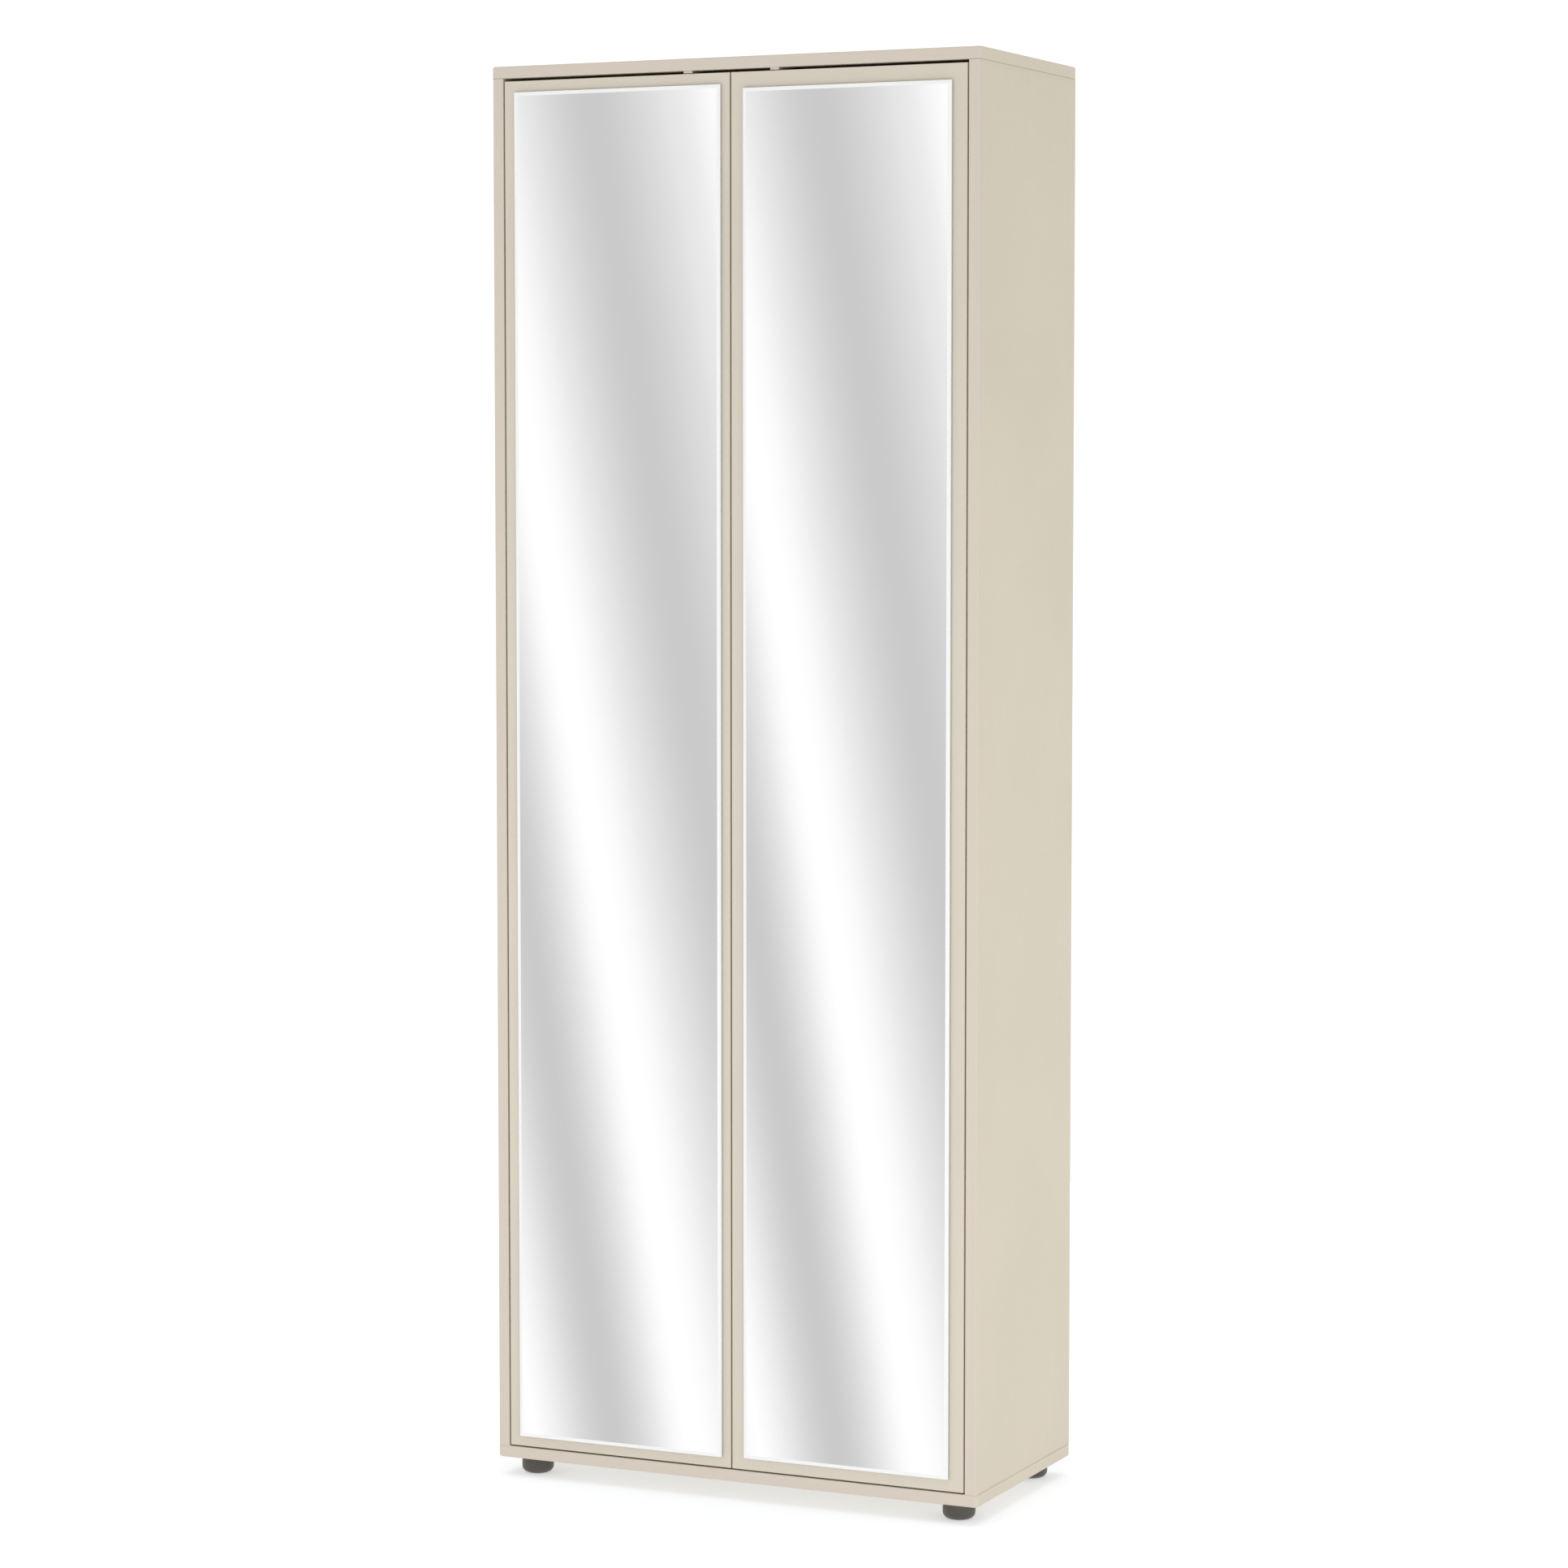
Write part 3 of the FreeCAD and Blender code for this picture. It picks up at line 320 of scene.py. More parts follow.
@dataclass(frozen=True)
class Laminate:
    """Matt melamine-faced board, with an edge band of a slightly different tone.

    The band covers the faces that look along band_axis. Its glue line shows where it meets the
    other faces, at band_line on that axis. Each joint is a height and how dark the painted shade
    along it is, which stands for the shadow in the gap between the boards.
    """

    name: str
    face: Rgb
    band: Rgb
    band_axis: Axis
    band_line: float | None = None
    joints: tuple[tuple[float, float], ...] = ()
    joint_half: float = 0.55 * MM
    joint_shade: float = 0.3
    seam_core: float = 0.12 * MM
    seam_half: float = 0.25 * MM
    seam_strength: float = 0.35
    seam_shade: float = 0.55
    cloud: float = 0.02
    cloud_scale: float = 5.0
    fleck_scale: float = 700.0
    fleck_strength: float = 0.25
    fleck_shade: float = 0.93
    rough: tuple[float, float] = (0.50, 0.60)
    stipple_scale: float = 1400.0
    stipple_depth: float = 0.06 * MM
    wave_scale: float = 18.0
    wave_depth: float = 0.25 * MM

    def banding(self, sheet: NodeSheet) -> Any:
        """1 on the faces that the edge band covers, 0 on the others."""
        facing = sheet.calc("ABSOLUTE", sheet.axis("Normal", self.band_axis))
        return sheet.remap(facing, 0.55, 0.8, 0.0, 1.0)

    def seam(self, sheet: NodeSheet, band: Any) -> Any:
        """How strongly the band's glue line shows, beside the band and not on it.

        Args:
            sheet: the material's nodes.
            band: 1 where the band is.

        Returns:
            The strength's output.
        """
        offset = sheet.calc("SUBTRACT", sheet.axis("Object", self.band_axis), self.band_line)
        distance = sheet.calc("ABSOLUTE", offset)
        near = sheet.remap(distance, self.seam_core, self.seam_half, self.seam_strength, 0.0)
        return sheet.calc("MULTIPLY", near, sheet.calc("SUBTRACT", 1.0, band))

    def joint_shading(self, sheet: NodeSheet) -> Any:
        """Painted shade near each joint between boards, leaving out the joints' own faces.

        Args:
            sheet: the material's nodes.

        Returns:
            The painted shade's output.
        """
        lines: Any = 0.0
        for level, depth in self.joints:
            offset = sheet.calc("SUBTRACT", sheet.axis("Object", Axis.Z), level)
            distance = sheet.calc("ABSOLUTE", offset)
            line = sheet.remap(distance, 0.0, self.joint_half, depth, 0.0)
            lines = sheet.calc("ADD", lines, line)
        facing = sheet.calc("ABSOLUTE", sheet.axis("Normal", Axis.Z))
        return sheet.calc("MULTIPLY", lines, sheet.remap(facing, 0.5, 0.9, 1.0, 0.0))

    def material(self) -> bpy.types.Material:
        """Faint clouding, fine flecks and stipple, banded narrow edges and painted joint shade."""
        sheet = NodeSheet(self.name)
        sheet.gloss(0.28)
        darker, lighter = toned(self.face, 1 - self.cloud), toned(self.face, 1 + self.cloud)
        colour = sheet.mix(sheet.patches(self.cloud_scale), darker, lighter)
        flecks = sheet.calc("MULTIPLY", sheet.patches(self.fleck_scale, 4.0), self.fleck_strength)
        colour = sheet.mix(flecks, colour, toned(self.face, self.fleck_shade))
        band = self.banding(sheet)
        colour = sheet.mix(band, colour, self.band)
        if self.band_line is not None:
            colour = sheet.mix(self.seam(sheet, band), colour, toned(self.face, self.seam_shade))
        # Painted shade: each joint between boards is darkened as the shadow of the gap there.
        if self.joints:
            colour = sheet.mix(self.joint_shading(sheet), colour, toned(self.face, self.joint_shade))
        roughness = sheet.remap(sheet.noise(60.0), 0.3, 0.7, *self.rough)
        stipple = sheet.bump(sheet.noise(self.stipple_scale, 2.0), self.stipple_depth, 0.35)
        wave = sheet.bump(sheet.noise(self.wave_scale, 1.0), self.wave_depth, 0.10, stipple)
        return sheet.dress(colour, roughness, wave)


@dataclass(frozen=True)
class Hardboard:
    """Hardboard lacquered on the face towards the shelves, raw fibre behind."""

    name: str = "hardboard"
    lacquer: Rgb = (0.70, 0.65, 0.56)
    fibre: Rgb = (0.36, 0.23, 0.13)
    fleck: Rgb = (0.20, 0.12, 0.065)
    strand_scale: float = 320.0
    patch_scale: float = 14.0
    patch_strength: float = 0.35
    patch_tone: float = 1.25
    smooth: float = 0.42
    coarse: float = 0.85
    weave_depth: float = 0.2 * MM

    def material(self) -> bpy.types.Material:
        """Lacquer in front, matted brown fibres with dark flecks behind."""
        sheet = NodeSheet(self.name)
        sheet.gloss(0.25)
        strands = sheet.remap(sheet.noise(self.strand_scale, 6.0), 0.35, 0.72, 0.0, 1.0)
        patches = sheet.remap(sheet.noise(self.patch_scale), 0.3, 0.7, 0.0, self.patch_strength)
        raw = sheet.mix(strands, self.fleck, self.fibre)
        raw = sheet.mix(patches, raw, toned(self.fibre, self.patch_tone))
        lacquer = sheet.mix(sheet.noise(40.0), self.lacquer, toned(self.lacquer, 0.96))
        behind = sheet.remap(sheet.axis("Normal", Axis.Y), 0.3, 0.6, 0.0, 1.0)
        colour = sheet.mix(behind, lacquer, raw)
        roughness = sheet.remap(behind, 0.0, 1.0, self.smooth, self.coarse)
        weave = sheet.calc("MULTIPLY", strands, sheet.remap(behind, 0.0, 1.0, 0.15, 1.0))
        return sheet.dress(colour, roughness, sheet.bump(weave, self.weave_depth, 0.6))


@dataclass(frozen=True)
class Silvering:
    """Silver behind polished glass, seen through the face."""

    name: str
    tint: Rgb
    rough: float
    silver: float = 1.0
    uneven: float = 0.3

    def material(self) -> bpy.types.Material:
        """A mirror whose polish varies a little."""
        sheet = NodeSheet(self.name)
        sheet.metal(self.silver)
        colour = sheet.mix(sheet.patches(9.0), self.tint, toned(self.tint, 0.99))
        polish = (self.rough * (1 - self.uneven), self.rough * (1 + self.uneven))
        roughness = sheet.remap(sheet.noise(70.0, 4.0), 0.3, 0.7, *polish)
        return sheet.dress(colour, roughness)


@dataclass(frozen=True)
class GlassEdge:
    """The ground and polished edge of float glass, faintly green."""

    name: str = "glass_edge"
    # Painted light: both tones are lifted to hide the shade of the gap behind the mirror.
    pale: Rgb = (0.74, 0.80, 0.77)
    deep: Rgb = (0.56, 0.63, 0.60)
    rough: tuple[float, float] = (0.12, 0.3)
    mark_scale: float = 900.0

    def material(self) -> bpy.types.Material:
        """Pale green-grey, lightened as painted light, with fine grinding marks along the edge."""
        sheet = NodeSheet(self.name)
        sheet.gloss(0.6)
        marks = sheet.remap(sheet.noise(self.mark_scale), 0.35, 0.65, 0.0, 1.0)
        roughness = sheet.remap(marks, 0.0, 1.0, *self.rough)
        return sheet.dress(sheet.mix(marks, self.pale, self.deep), roughness)


@dataclass(frozen=True)
class Moulded:
    """Injection-moulded plastic with a fine spark-eroded texture."""

    name: str
    tone: Rgb
    rough: tuple[float, float] = (0.38, 0.55)
    pebble_depth: float = 0.05 * MM
    pebble_scale: float = 2600.0
    flow_scale: float = 45.0
    flow: tuple[float, float] = (0.93, 1.06)

    def material(self) -> bpy.types.Material:
        """Slightly uneven colour and a fine pebbled surface."""
        sheet = NodeSheet(self.name)
        sheet.gloss(0.45)
        darker, lighter = (toned(self.tone, factor) for factor in self.flow)
        colour = sheet.mix(sheet.patches(self.flow_scale), darker, lighter)
        roughness = sheet.remap(sheet.noise(180.0), 0.3, 0.7, *self.rough)
        pebbles = sheet.bump(sheet.cells(self.pebble_scale), self.pebble_depth, 0.4)
        return sheet.dress(colour, roughness, pebbles)


@dataclass(frozen=True)
class Foam:
    """Closed-cell foam tape."""

    name: str = "foam_tape"
    tone: Rgb = (0.055, 0.055, 0.058)
    cell_scale: float = 1800.0
    cell_depth: float = 0.25 * MM
    rough: float = 0.9

    def material(self) -> bpy.types.Material:
        """Dark foam with open cells on the cut edge."""
        sheet = NodeSheet(self.name)
        cells = sheet.cells(self.cell_scale)
        colour = sheet.mix(cells, toned(self.tone, 0.5), toned(self.tone, 1.5))
        return sheet.dress(colour, self.rough, sheet.bump(cells, self.cell_depth, 0.8))


@dataclass(frozen=True)
class Hardwood:
    """Turned beech with short dark rays."""

    name: str = "beech"
    pale: Rgb = (0.66, 0.45, 0.26)
    ray: Rgb = (0.42, 0.25, 0.12)
    ray_scale: float = 500.0
    ray_depth: float = 0.05 * MM
    ring_scale: float = 90.0
    rough: float = 0.6

    def material(self) -> bpy.types.Material:
        """Long grain along the dowel with fine rays."""
        sheet = NodeSheet(self.name)
        rays = sheet.noise(self.ray_scale, 4.0, Grain.ALONG_X)
        rays = sheet.remap(rays, 0.5, 0.72, 0.0, 1.0)
        rings = sheet.noise(self.ring_scale, 2.0, Grain.ALONG_X)
        rings = sheet.remap(rings, 0.3, 0.7, 0.0, 0.4)
        colour = sheet.mix(rays, sheet.mix(rings, self.pale, self.ray), self.ray)
        return sheet.dress(colour, self.rough, sheet.bump(rays, self.ray_depth, 0.5))


@dataclass(frozen=True)
class Plated:
    """Plated metal: satin nickel, bright zinc or die-cast zinc."""

    name: str
    tone: Rgb
    rough: tuple[float, float]
    grain: Grain = Grain.EVEN
    streak_scale: float = 600.0
    streak_depth: float = 0.02 * MM
    cloud_scale: float = 110.0
    cloud_shade: float = 0.86

    def material(self) -> bpy.types.Material:
        """Metal with drawn streaks and a slightly clouded plating."""
        sheet = NodeSheet(self.name)
        sheet.metal()
        drawn = sheet.patches(self.streak_scale, 5.0, self.grain)
        cloud = sheet.remap(sheet.noise(self.cloud_scale), 0.3, 0.7, 0.0, 0.6)
        colour = sheet.mix(cloud, self.tone, toned(self.tone, self.cloud_shade))
        roughness = sheet.remap(drawn, 0.0, 1.0, *self.rough)
        return sheet.dress(colour, roughness, sheet.bump(drawn, self.streak_depth, 0.4))


class Palette:
    """Every finish, made once."""

    sand: Rgb = (0.636, 0.574, 0.462)
    front: Rgb = (0.655, 0.580, 0.500)
    door_sand: Rgb = (0.670, 0.608, 0.514)
    band_thick: float = 1.0 * MM
    # Painted shade at the joints: dark under the top panel, faint over the bottom panel.
    lower_joint_shade: float = 0.1
    upper_joint_shade: float = 1.0

    def __init__(self) -> None:
        """Makes the materials, with painted shade along the joints where the side panels end."""
        low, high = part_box("right_side_panel")
        self.carcass = Laminate(
            name="sand_laminate_carcass",
            face=self.sand,
            band=self.front,
            band_axis=Axis.Y,
            band_line=low.y + self.band_thick,
            joints=((low.z, self.lower_joint_shade), (high.z, self.upper_joint_shade)),
        ).material()
        self.door = Laminate("sand_laminate_door", self.door_sand, self.sand, Axis.X).material()
        self.hardboard = Hardboard().material()
        self.silver = Silvering("silvered_glass", (0.94, 0.94, 0.94), rough=0.004).material()
        self.bevel = Silvering(
            "bevelled_glass", (0.98, 0.98, 0.98), rough=0.16, silver=0.45
        ).material()
        self.glass_edge = GlassEdge().material()
        self.backing = Moulded("mirror_backing", (0.16, 0.17, 0.18), (0.5, 0.65)).material()
        self.foam = Foam().material()
        self.grey = Moulded("grey_plastic", (0.66, 0.62, 0.56)).material()
        self.dark = Moulded("dark_plastic", (0.082, 0.074, 0.062), (0.34, 0.5)).material()
        self.glide = Moulded(
            "glide_pad", (0.035, 0.033, 0.031), (0.6, 0.8), pebble_depth=0.1 * MM
        ).material()
        self.beech = Hardwood().material()
        self.nickel = Plated(
            "nickel_plate", (0.70, 0.68, 0.64), (0.20, 0.34), Grain.ALONG_Y
        ).material()
        self.zinc = Plated("zinc_plate", (0.66, 0.67, 0.69), (0.22, 0.38)).material()
        self.cast = Plated(
            "die_cast_zinc",
            (0.52, 0.52, 0.51),
            (0.38, 0.55),
            streak_scale=900.0,
            streak_depth=0.05 * MM,
        ).material()


# ----------------------------------------------------------------- mesh tools


def piece_from(
    mesh: bmesh.types.BMesh,
    name: str,
    materials: Iterable[bpy.types.Material],
) -> bpy.types.Object:
    """Turns a built mesh into an object in the scene.

    Args:
        mesh: the mesh, which is freed.
        name: the piece's name.
        materials: its materials, in the order of the faces' numbers.

    Returns:
        The new object.
    """
    data = bpy.data.meshes.new(name)
    bmesh.ops.recalc_face_normals(mesh, faces=mesh.faces)
    mesh.to_mesh(data)
    mesh.free()
    for material in materials:
        data.materials.append(material)
    piece = bpy.data.objects.new(name, data)
    bpy.context.scene.collection.objects.link(piece)
    return piece


def shade(piece: bpy.types.Object, angle: float) -> None:
    """Shades a piece smooth, with edges sharper than the angle in degrees kept crisp."""
    piece.data.shade_smooth()
    piece.data.set_sharp_from_angle(angle=math.radians(angle))


def ring(mesh: bmesh.types.BMesh, points: Iterable[Sequence[float]]) -> list[bmesh.types.BMVert]:
    """Adds a loop of corners and returns them."""
    return [mesh.verts.new(point) for point in points]


def wall(
    mesh: bmesh.types.BMesh,
    lower: Sequence[bmesh.types.BMVert],
    upper: Sequence[bmesh.types.BMVert],
    slot: int = 0,
) -> None:
    """Joins two loops with a band of faces.

    Args:
        mesh: the mesh that gets the faces.
        lower: the first loop.
        upper: the second loop, with as many corners.
        slot: the faces' material number.
    """
    count = len(lower)
    for i in range(count):
        j = (i + 1) % count
        face = mesh.faces.new((lower[i], lower[j], upper[j], upper[i]))
        face.material_index = slot


def circle(radius: float, height: float, steps: int) -> list[Vector]:
    """Points evenly round an upright axis through the origin."""
    turns = (2 * math.pi * i / steps for i in range(steps))
    return [Vector((radius * math.cos(t), radius * math.sin(t), height)) for t in turns]


def stack(mesh: bmesh.types.BMesh, loops: Sequence[Sequence[bmesh.types.BMVert]]) -> None:
    """Makes a closed solid from loops: walls between them and a cap at both ends.

    Args:
        mesh: the mesh that gets the faces.
        loops: the loops from one end to the other, with as many corners each.
    """
    for lower, upper in zip(loops, loops[1:]):
        wall(mesh, lower, upper)
    mesh.faces.new(list(reversed(loops[0])))
    mesh.faces.new(loops[-1])


def paint(node: bpy.types.Object, material: bpy.types.Material) -> None:
    """Puts one material on every slot of a carried-over node.

    Args:
        node: the node, whose mesh stays as it is.
        material: its finish.
    """
    if not node.data.materials:
        node.data.materials.append(material)
    for index in range(len(node.data.materials)):
        node.data.materials[index] = material
    LOG.info("%s: %s", node.name, material.name)


# -------------------------------------------------------------- sub-assemblies


@dataclass
class Carcass:
    """The boards, shelves and back that keep their own shape and get a finish."""

    palette: Palette
    nodes: dict[str, bpy.types.Object]
    boards: tuple[str, ...] = ("top_panel", "bottom_panel", "fixed_shelf", "adjustable_shelf")
    backs: tuple[str, ...] = ("back_panel_lower", "back_panel_upper")

    def dress(self) -> None:
        """Gives every board its finish."""
        for name in self.nodes:
            if name.startswith(self.boards) or name.endswith("side_panel"):
                paint(self.nodes[name], self.palette.carcass)
            elif name.endswith("door_panel"):
                paint(self.nodes[name], self.palette.door)
            elif name in self.backs:
                paint(self.nodes[name], self.palette.hardboard)
        paint(self.nodes["back_joining_strip"], self.palette.grey)


@dataclass
class DoorMirror:
    """One bevelled mirror, with its silvering, ground edge and painted back."""

    side: Side
    palette: Palette
    bevel_width: float = 5.0 * MM
    bevel_depth: float = 1.2 * MM
    arris: float = 0.25 * MM
    face_slot: int = 0
    bevel_slot: int = 1
    edge_slot: int = 2
    back_slot: int = 3

    def build(self) -> bpy.types.Object:
        """Makes the mirror in place of the plain plate.

        Returns:
            The mirror.
        """
        node = f"{self.side.value}_mirror"
        low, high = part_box(node)
        mesh = bmesh.new()

        def outline(inset: float, depth: float) -> list[bmesh.types.BMVert]:
            """The mirror's rectangle, drawn in by inset, at a depth behind its face."""
            y = low.y + depth
            left, right = low.x + inset, high.x - inset
            bottom, top = low.z + inset, high.z - inset
            points = ((left, y, bottom), (right, y, bottom), (right, y, top), (left, y, top))
            return ring(mesh, points)

        thick = high.y - low.y
        face = outline(self.bevel_width, 0.0)
        rim = outline(self.arris, self.bevel_depth)
        side = outline(0.0, self.bevel_depth + self.arris)
        rear = outline(0.0, thick - self.arris)
        back = outline(self.arris, thick)
        mesh.faces.new(face).material_index = self.face_slot
        wall(mesh, face, rim, self.bevel_slot)
        wall(mesh, rim, side, self.edge_slot)
        wall(mesh, side, rear, self.edge_slot)
        wall(mesh, rear, back, self.edge_slot)
        mesh.faces.new(back).material_index = self.back_slot
        palette = self.palette
        finishes = (palette.silver, palette.bevel, palette.glass_edge, palette.backing)
        mirror = piece_from(mesh, f"{node}_plate", finishes)
        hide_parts(node)
        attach(mirror, self.side.door.value)
        LOG.info("%s: bevelled plate in place", node)
        return mirror


@dataclass
class Foot:
    """A round moulded foot with a rounded rim, a seam round it and a glide pad under it."""

    node: str
    palette: Palette
    facets: int = 96
    rim_round: float = 9.0 * MM
    rim_steps: int = 14
    seam_height: float = 0.62
    seam_depth: float = 0.18 * MM
    pad_height: float = 0.6 * MM
    pad_inset: float = 1.2 * MM
    pad_flare: float = 0.2 * MM
    top_round: float = 0.6 * MM
    top_share: float = 0.3
    crisp: float = 40.0
    pad_slot: int = 1

    def profile(self, radius: float, height: float) -> list[tuple[float, float]]:
        """The foot's outline from the floor up.

        Args:
            radius: the foot's radius.
            height: the foot's height.

        Returns:
            Radius and height pairs.
        """
        rim = self.rim_round
        pad = radius - rim - self.pad_inset
        points = [(pad, 0.0), (pad + self.pad_flare, self.pad_height)]
        for i in range(self.rim_steps + 1):
            angle = math.pi / 2 * i / self.rim_steps
            r = radius - rim + rim * math.sin(angle)
            z = self.pad_height + rim - rim * math.cos(angle)
            points.append((r, z))
        seam = height * self.seam_height
        partway = self.top_round * self.top_share
        points.append((radius, seam - self.seam_depth))
        points.append((radius - self.seam_depth, seam))
        points.append((radius, seam + self.seam_depth))
        points.append((radius, height - self.top_round))
        points.append((radius - partway, height - partway))
        points.append((radius - self.top_round, height))
        return points

    def build(self) -> bpy.types.Object:
        """Turns the foot in place of the plain one.

        Returns:
            The foot.
        """
        low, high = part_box(self.node)
        middle = (low + high) / 2
        base = Vector((middle.x, middle.y, low.z))
        mesh = bmesh.new()
        loops = []
        for radius, height in self.profile((high.x - low.x) / 2, high.z - low.z):
            loops.append(ring(mesh, [base + p for p in circle(radius, height, self.facets)]))
        stack(mesh, loops)
        pad_top = low.z + self.pad_height * 1.01
        for face in mesh.faces:
            if max(corner.co.z for corner in face.verts) <= pad_top:
                face.material_index = self.pad_slot
        foot = piece_from(
            mesh, f"{self.node}_moulding", (self.palette.dark, self.palette.glide)
        )
        shade(foot, self.crisp)
        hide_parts(self.node)
        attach(foot, Body.CABINET.value)
        LOG.info("%s: moulding in place", self.node)
        return foot


def solids(node: bpy.types.Object) -> list[list[Vector]]:
    """The corners of each separate solid in a node.

    Args:
        node: a carried-over node, which stays as it is.

    Returns:
        One list of corners for each solid.
    """
    mesh = bmesh.new()
    mesh.from_mesh(node.data)
    bmesh.ops.remove_doubles(mesh, verts=mesh.verts, dist=0.001 * MM)
    seen = set()
    found = []
    for start in mesh.verts:
        if start in seen:
            continue
        seen.add(start)
        queue, group = [start], []
        while queue:
            corner = queue.pop()
            group.append(corner.co.copy())
            for edge in corner.link_edges:
                other = edge.other_vert(corner)
                if other not in seen:
                    seen.add(other)
                    queue.append(other)
        found.append(group)
    mesh.free()
    return found


@dataclass(frozen=True)
class Driven:
    """Where one screw sits, which way it is driven and how large it is."""

    top: Vector
    way: Vector
    head_radius: float
    head: float
    shank_radius: float
    length: float

    @classmethod
    def measured(cls, group: list[Vector]) -> "Driven":
        """Finds a plain screw's axis, head and shank from its corners.

        Args:
            group: every corner of the plain screw.

        Returns:
            The screw's place and sizes.
        """
        low = Vector(min(c[k] for c in group) for k in range(3))
        high = Vector(max(c[k] for c in group) for k in range(3))
        extent = high - low
        along = max(range(3), key=lambda k: extent[k])
        middle = (low + high) / 2
        reach = 0.04 * extent[along]

        def radius(corner: Vector) -> float:
            """A corner's distance from the screw's axis."""
            return math.hypot(*((corner - middle)[k] for k in range(3) if k != along))

        def spread(end: float) -> float:
            """The widest radius close to one end."""
            return max(radius(c) for c in group if abs(c[along] - end) < reach)

        head_end, tail_end = sorted((low[along], high[along]), key=spread, reverse=True)
        way = Vector((0.0, 0.0, 0.0))
        way[along] = 1.0 if tail_end > head_end else -1.0
        top = middle.copy()
        top[along] = head_end
        head_radius, shank_radius = spread(head_end), spread(tail_end)
        halfway = (head_radius + shank_radius) / 2
        head = max(abs(c[along] - head_end) for c in group if radius(c) > halfway)
        return cls(top, way, head_radius, head, shank_radius, extent[along])


@dataclass
class Screws:
    """A node's screws: domed heads with a cross recess, and threaded shanks.

    Shares of the head are of its radius across and of its height along the axis.
    """

    node: str
    body: Body
    plain: bpy.types.Object
    palette: Palette
    recess_reach: float = 0.62
    recess_half: float = 0.15
    recess_floor: float = 0.45
    recess_depth: float = 0.62
    dome: Stops = (
        (0.8, 0.0),
        (0.93, 0.14),
        (0.985, 0.34),
        (1.0, 0.6),
        (1.0, 0.92),
        (0.97, 1.0),
    )
    pitch: float = 1.6 * MM
    rings_per_pitch: int = 4
    root: float = 0.78
    point: float = 2.2 * MM
    point_share: float = 0.25
    tip_share: float = 0.1
    steps_per_mark: int = 2
    crisp: float = 30.0

    def angles(self) -> list[float]:
        """The angles round the axis.

        Returns:
            The angles in order, with one at every corner of the cross.
        """
        corner = math.atan2(self.recess_half, self.recess_reach)
        quarter = math.pi / 2
        marks = (0.0, corner, quarter / 2, quarter - corner, quarter)
        steps = self.steps_per_mark
        full = []
        for turn in range(4):
            for first, second in zip(marks, marks[1:]):
                for step in range(steps):
                    full.append(turn * quarter + first + (second - first) * step / steps)
        return full

    def cross(self, angle: float) -> float:
        """How far the cross reaches.

        Args:
            angle: the direction from the axis.

        Returns:
            The reach, as a share of the head's radius.
        """
        near, far = sorted((abs(math.cos(angle)), abs(math.sin(angle))))
        if near / far <= self.recess_half / self.recess_reach:
            return self.recess_reach / far
        return self.recess_half / near

    def thread(self, screw: Driven, depth: float, angle: float) -> float:
        """The shank's radius on its thread, which tapers to the point.

        Args:
            screw: the screw's place and sizes.
            depth: how far the ring lies under the head's top.
            angle: the direction from the axis.

        Returns:
            The radius.
        """
        left = (screw.length - depth) / self.point
        taper = min(1.0, self.point_share + (1 - self.point_share) * left)
        phase = (depth / self.pitch - angle / (2 * math.pi)) % 1.0
        ridge = max(0.0, 1.0 - abs(phase - 0.5) * 4)
        return screw.shank_radius * taper * (self.root + (1 - self.root) * ridge)

    def rings(self, screw: Driven) -> list[list[tuple[float, float]]]:
        """The screw's rings from the recess's floor to the point.

        Args:
            screw: the screw's place and sizes.

        Returns:
            For each ring, a radius and a depth at every angle.
        """
        angles = self.angles()
        radius, head = screw.head_radius, screw.head
        shank = screw.length - head
        floor = self.recess_floor
        rows = [
            [(self.cross(a) * radius * floor, head * self.recess_depth) for a in angles],
            [(self.cross(a) * radius, 0.0) for a in angles],
        ]
        for across, along in self.dome:
            rows.append([(radius * across, head * along)] * len(angles))
        rows.append([(screw.shank_radius * self.root, head)] * len(angles))
        count = int(shank / self.pitch * self.rings_per_pitch)
        for i in range(1, count):
            depth = head + shank * i / count
            rows.append([(self.thread(screw, depth, a), depth) for a in angles])
        rows.append([(screw.shank_radius * self.tip_share, screw.length)] * len(angles))
        return rows

    def build(self) -> bpy.types.Object:
        """Makes the screws in place of the plain ones.

        Returns:
            One piece that holds them all.
        """
        mesh = bmesh.new()
        angles = self.angles()
        for group in solids(self.plain):
            screw = Driven.measured(group)
            across = screw.way.orthogonal().normalized()
            up = screw.way.cross(across)
            outwards = [across * math.cos(a) + up * math.sin(a) for a in angles]
            loops = []
            for row in self.rings(screw):
                points = []
                for direction, (radius, depth) in zip(outwards, row):
                    points.append(screw.top + screw.way * depth + direction * radius)
                loops.append(ring(mesh, points))
            stack(mesh, loops)
        piece = piece_from(mesh, f"{self.node}_turned", (self.palette.zinc,))
        shade(piece, self.crisp)
        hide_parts(self.node)
        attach(piece, self.body.value)
        LOG.info("%s: recessed and threaded", self.node)
        return piece


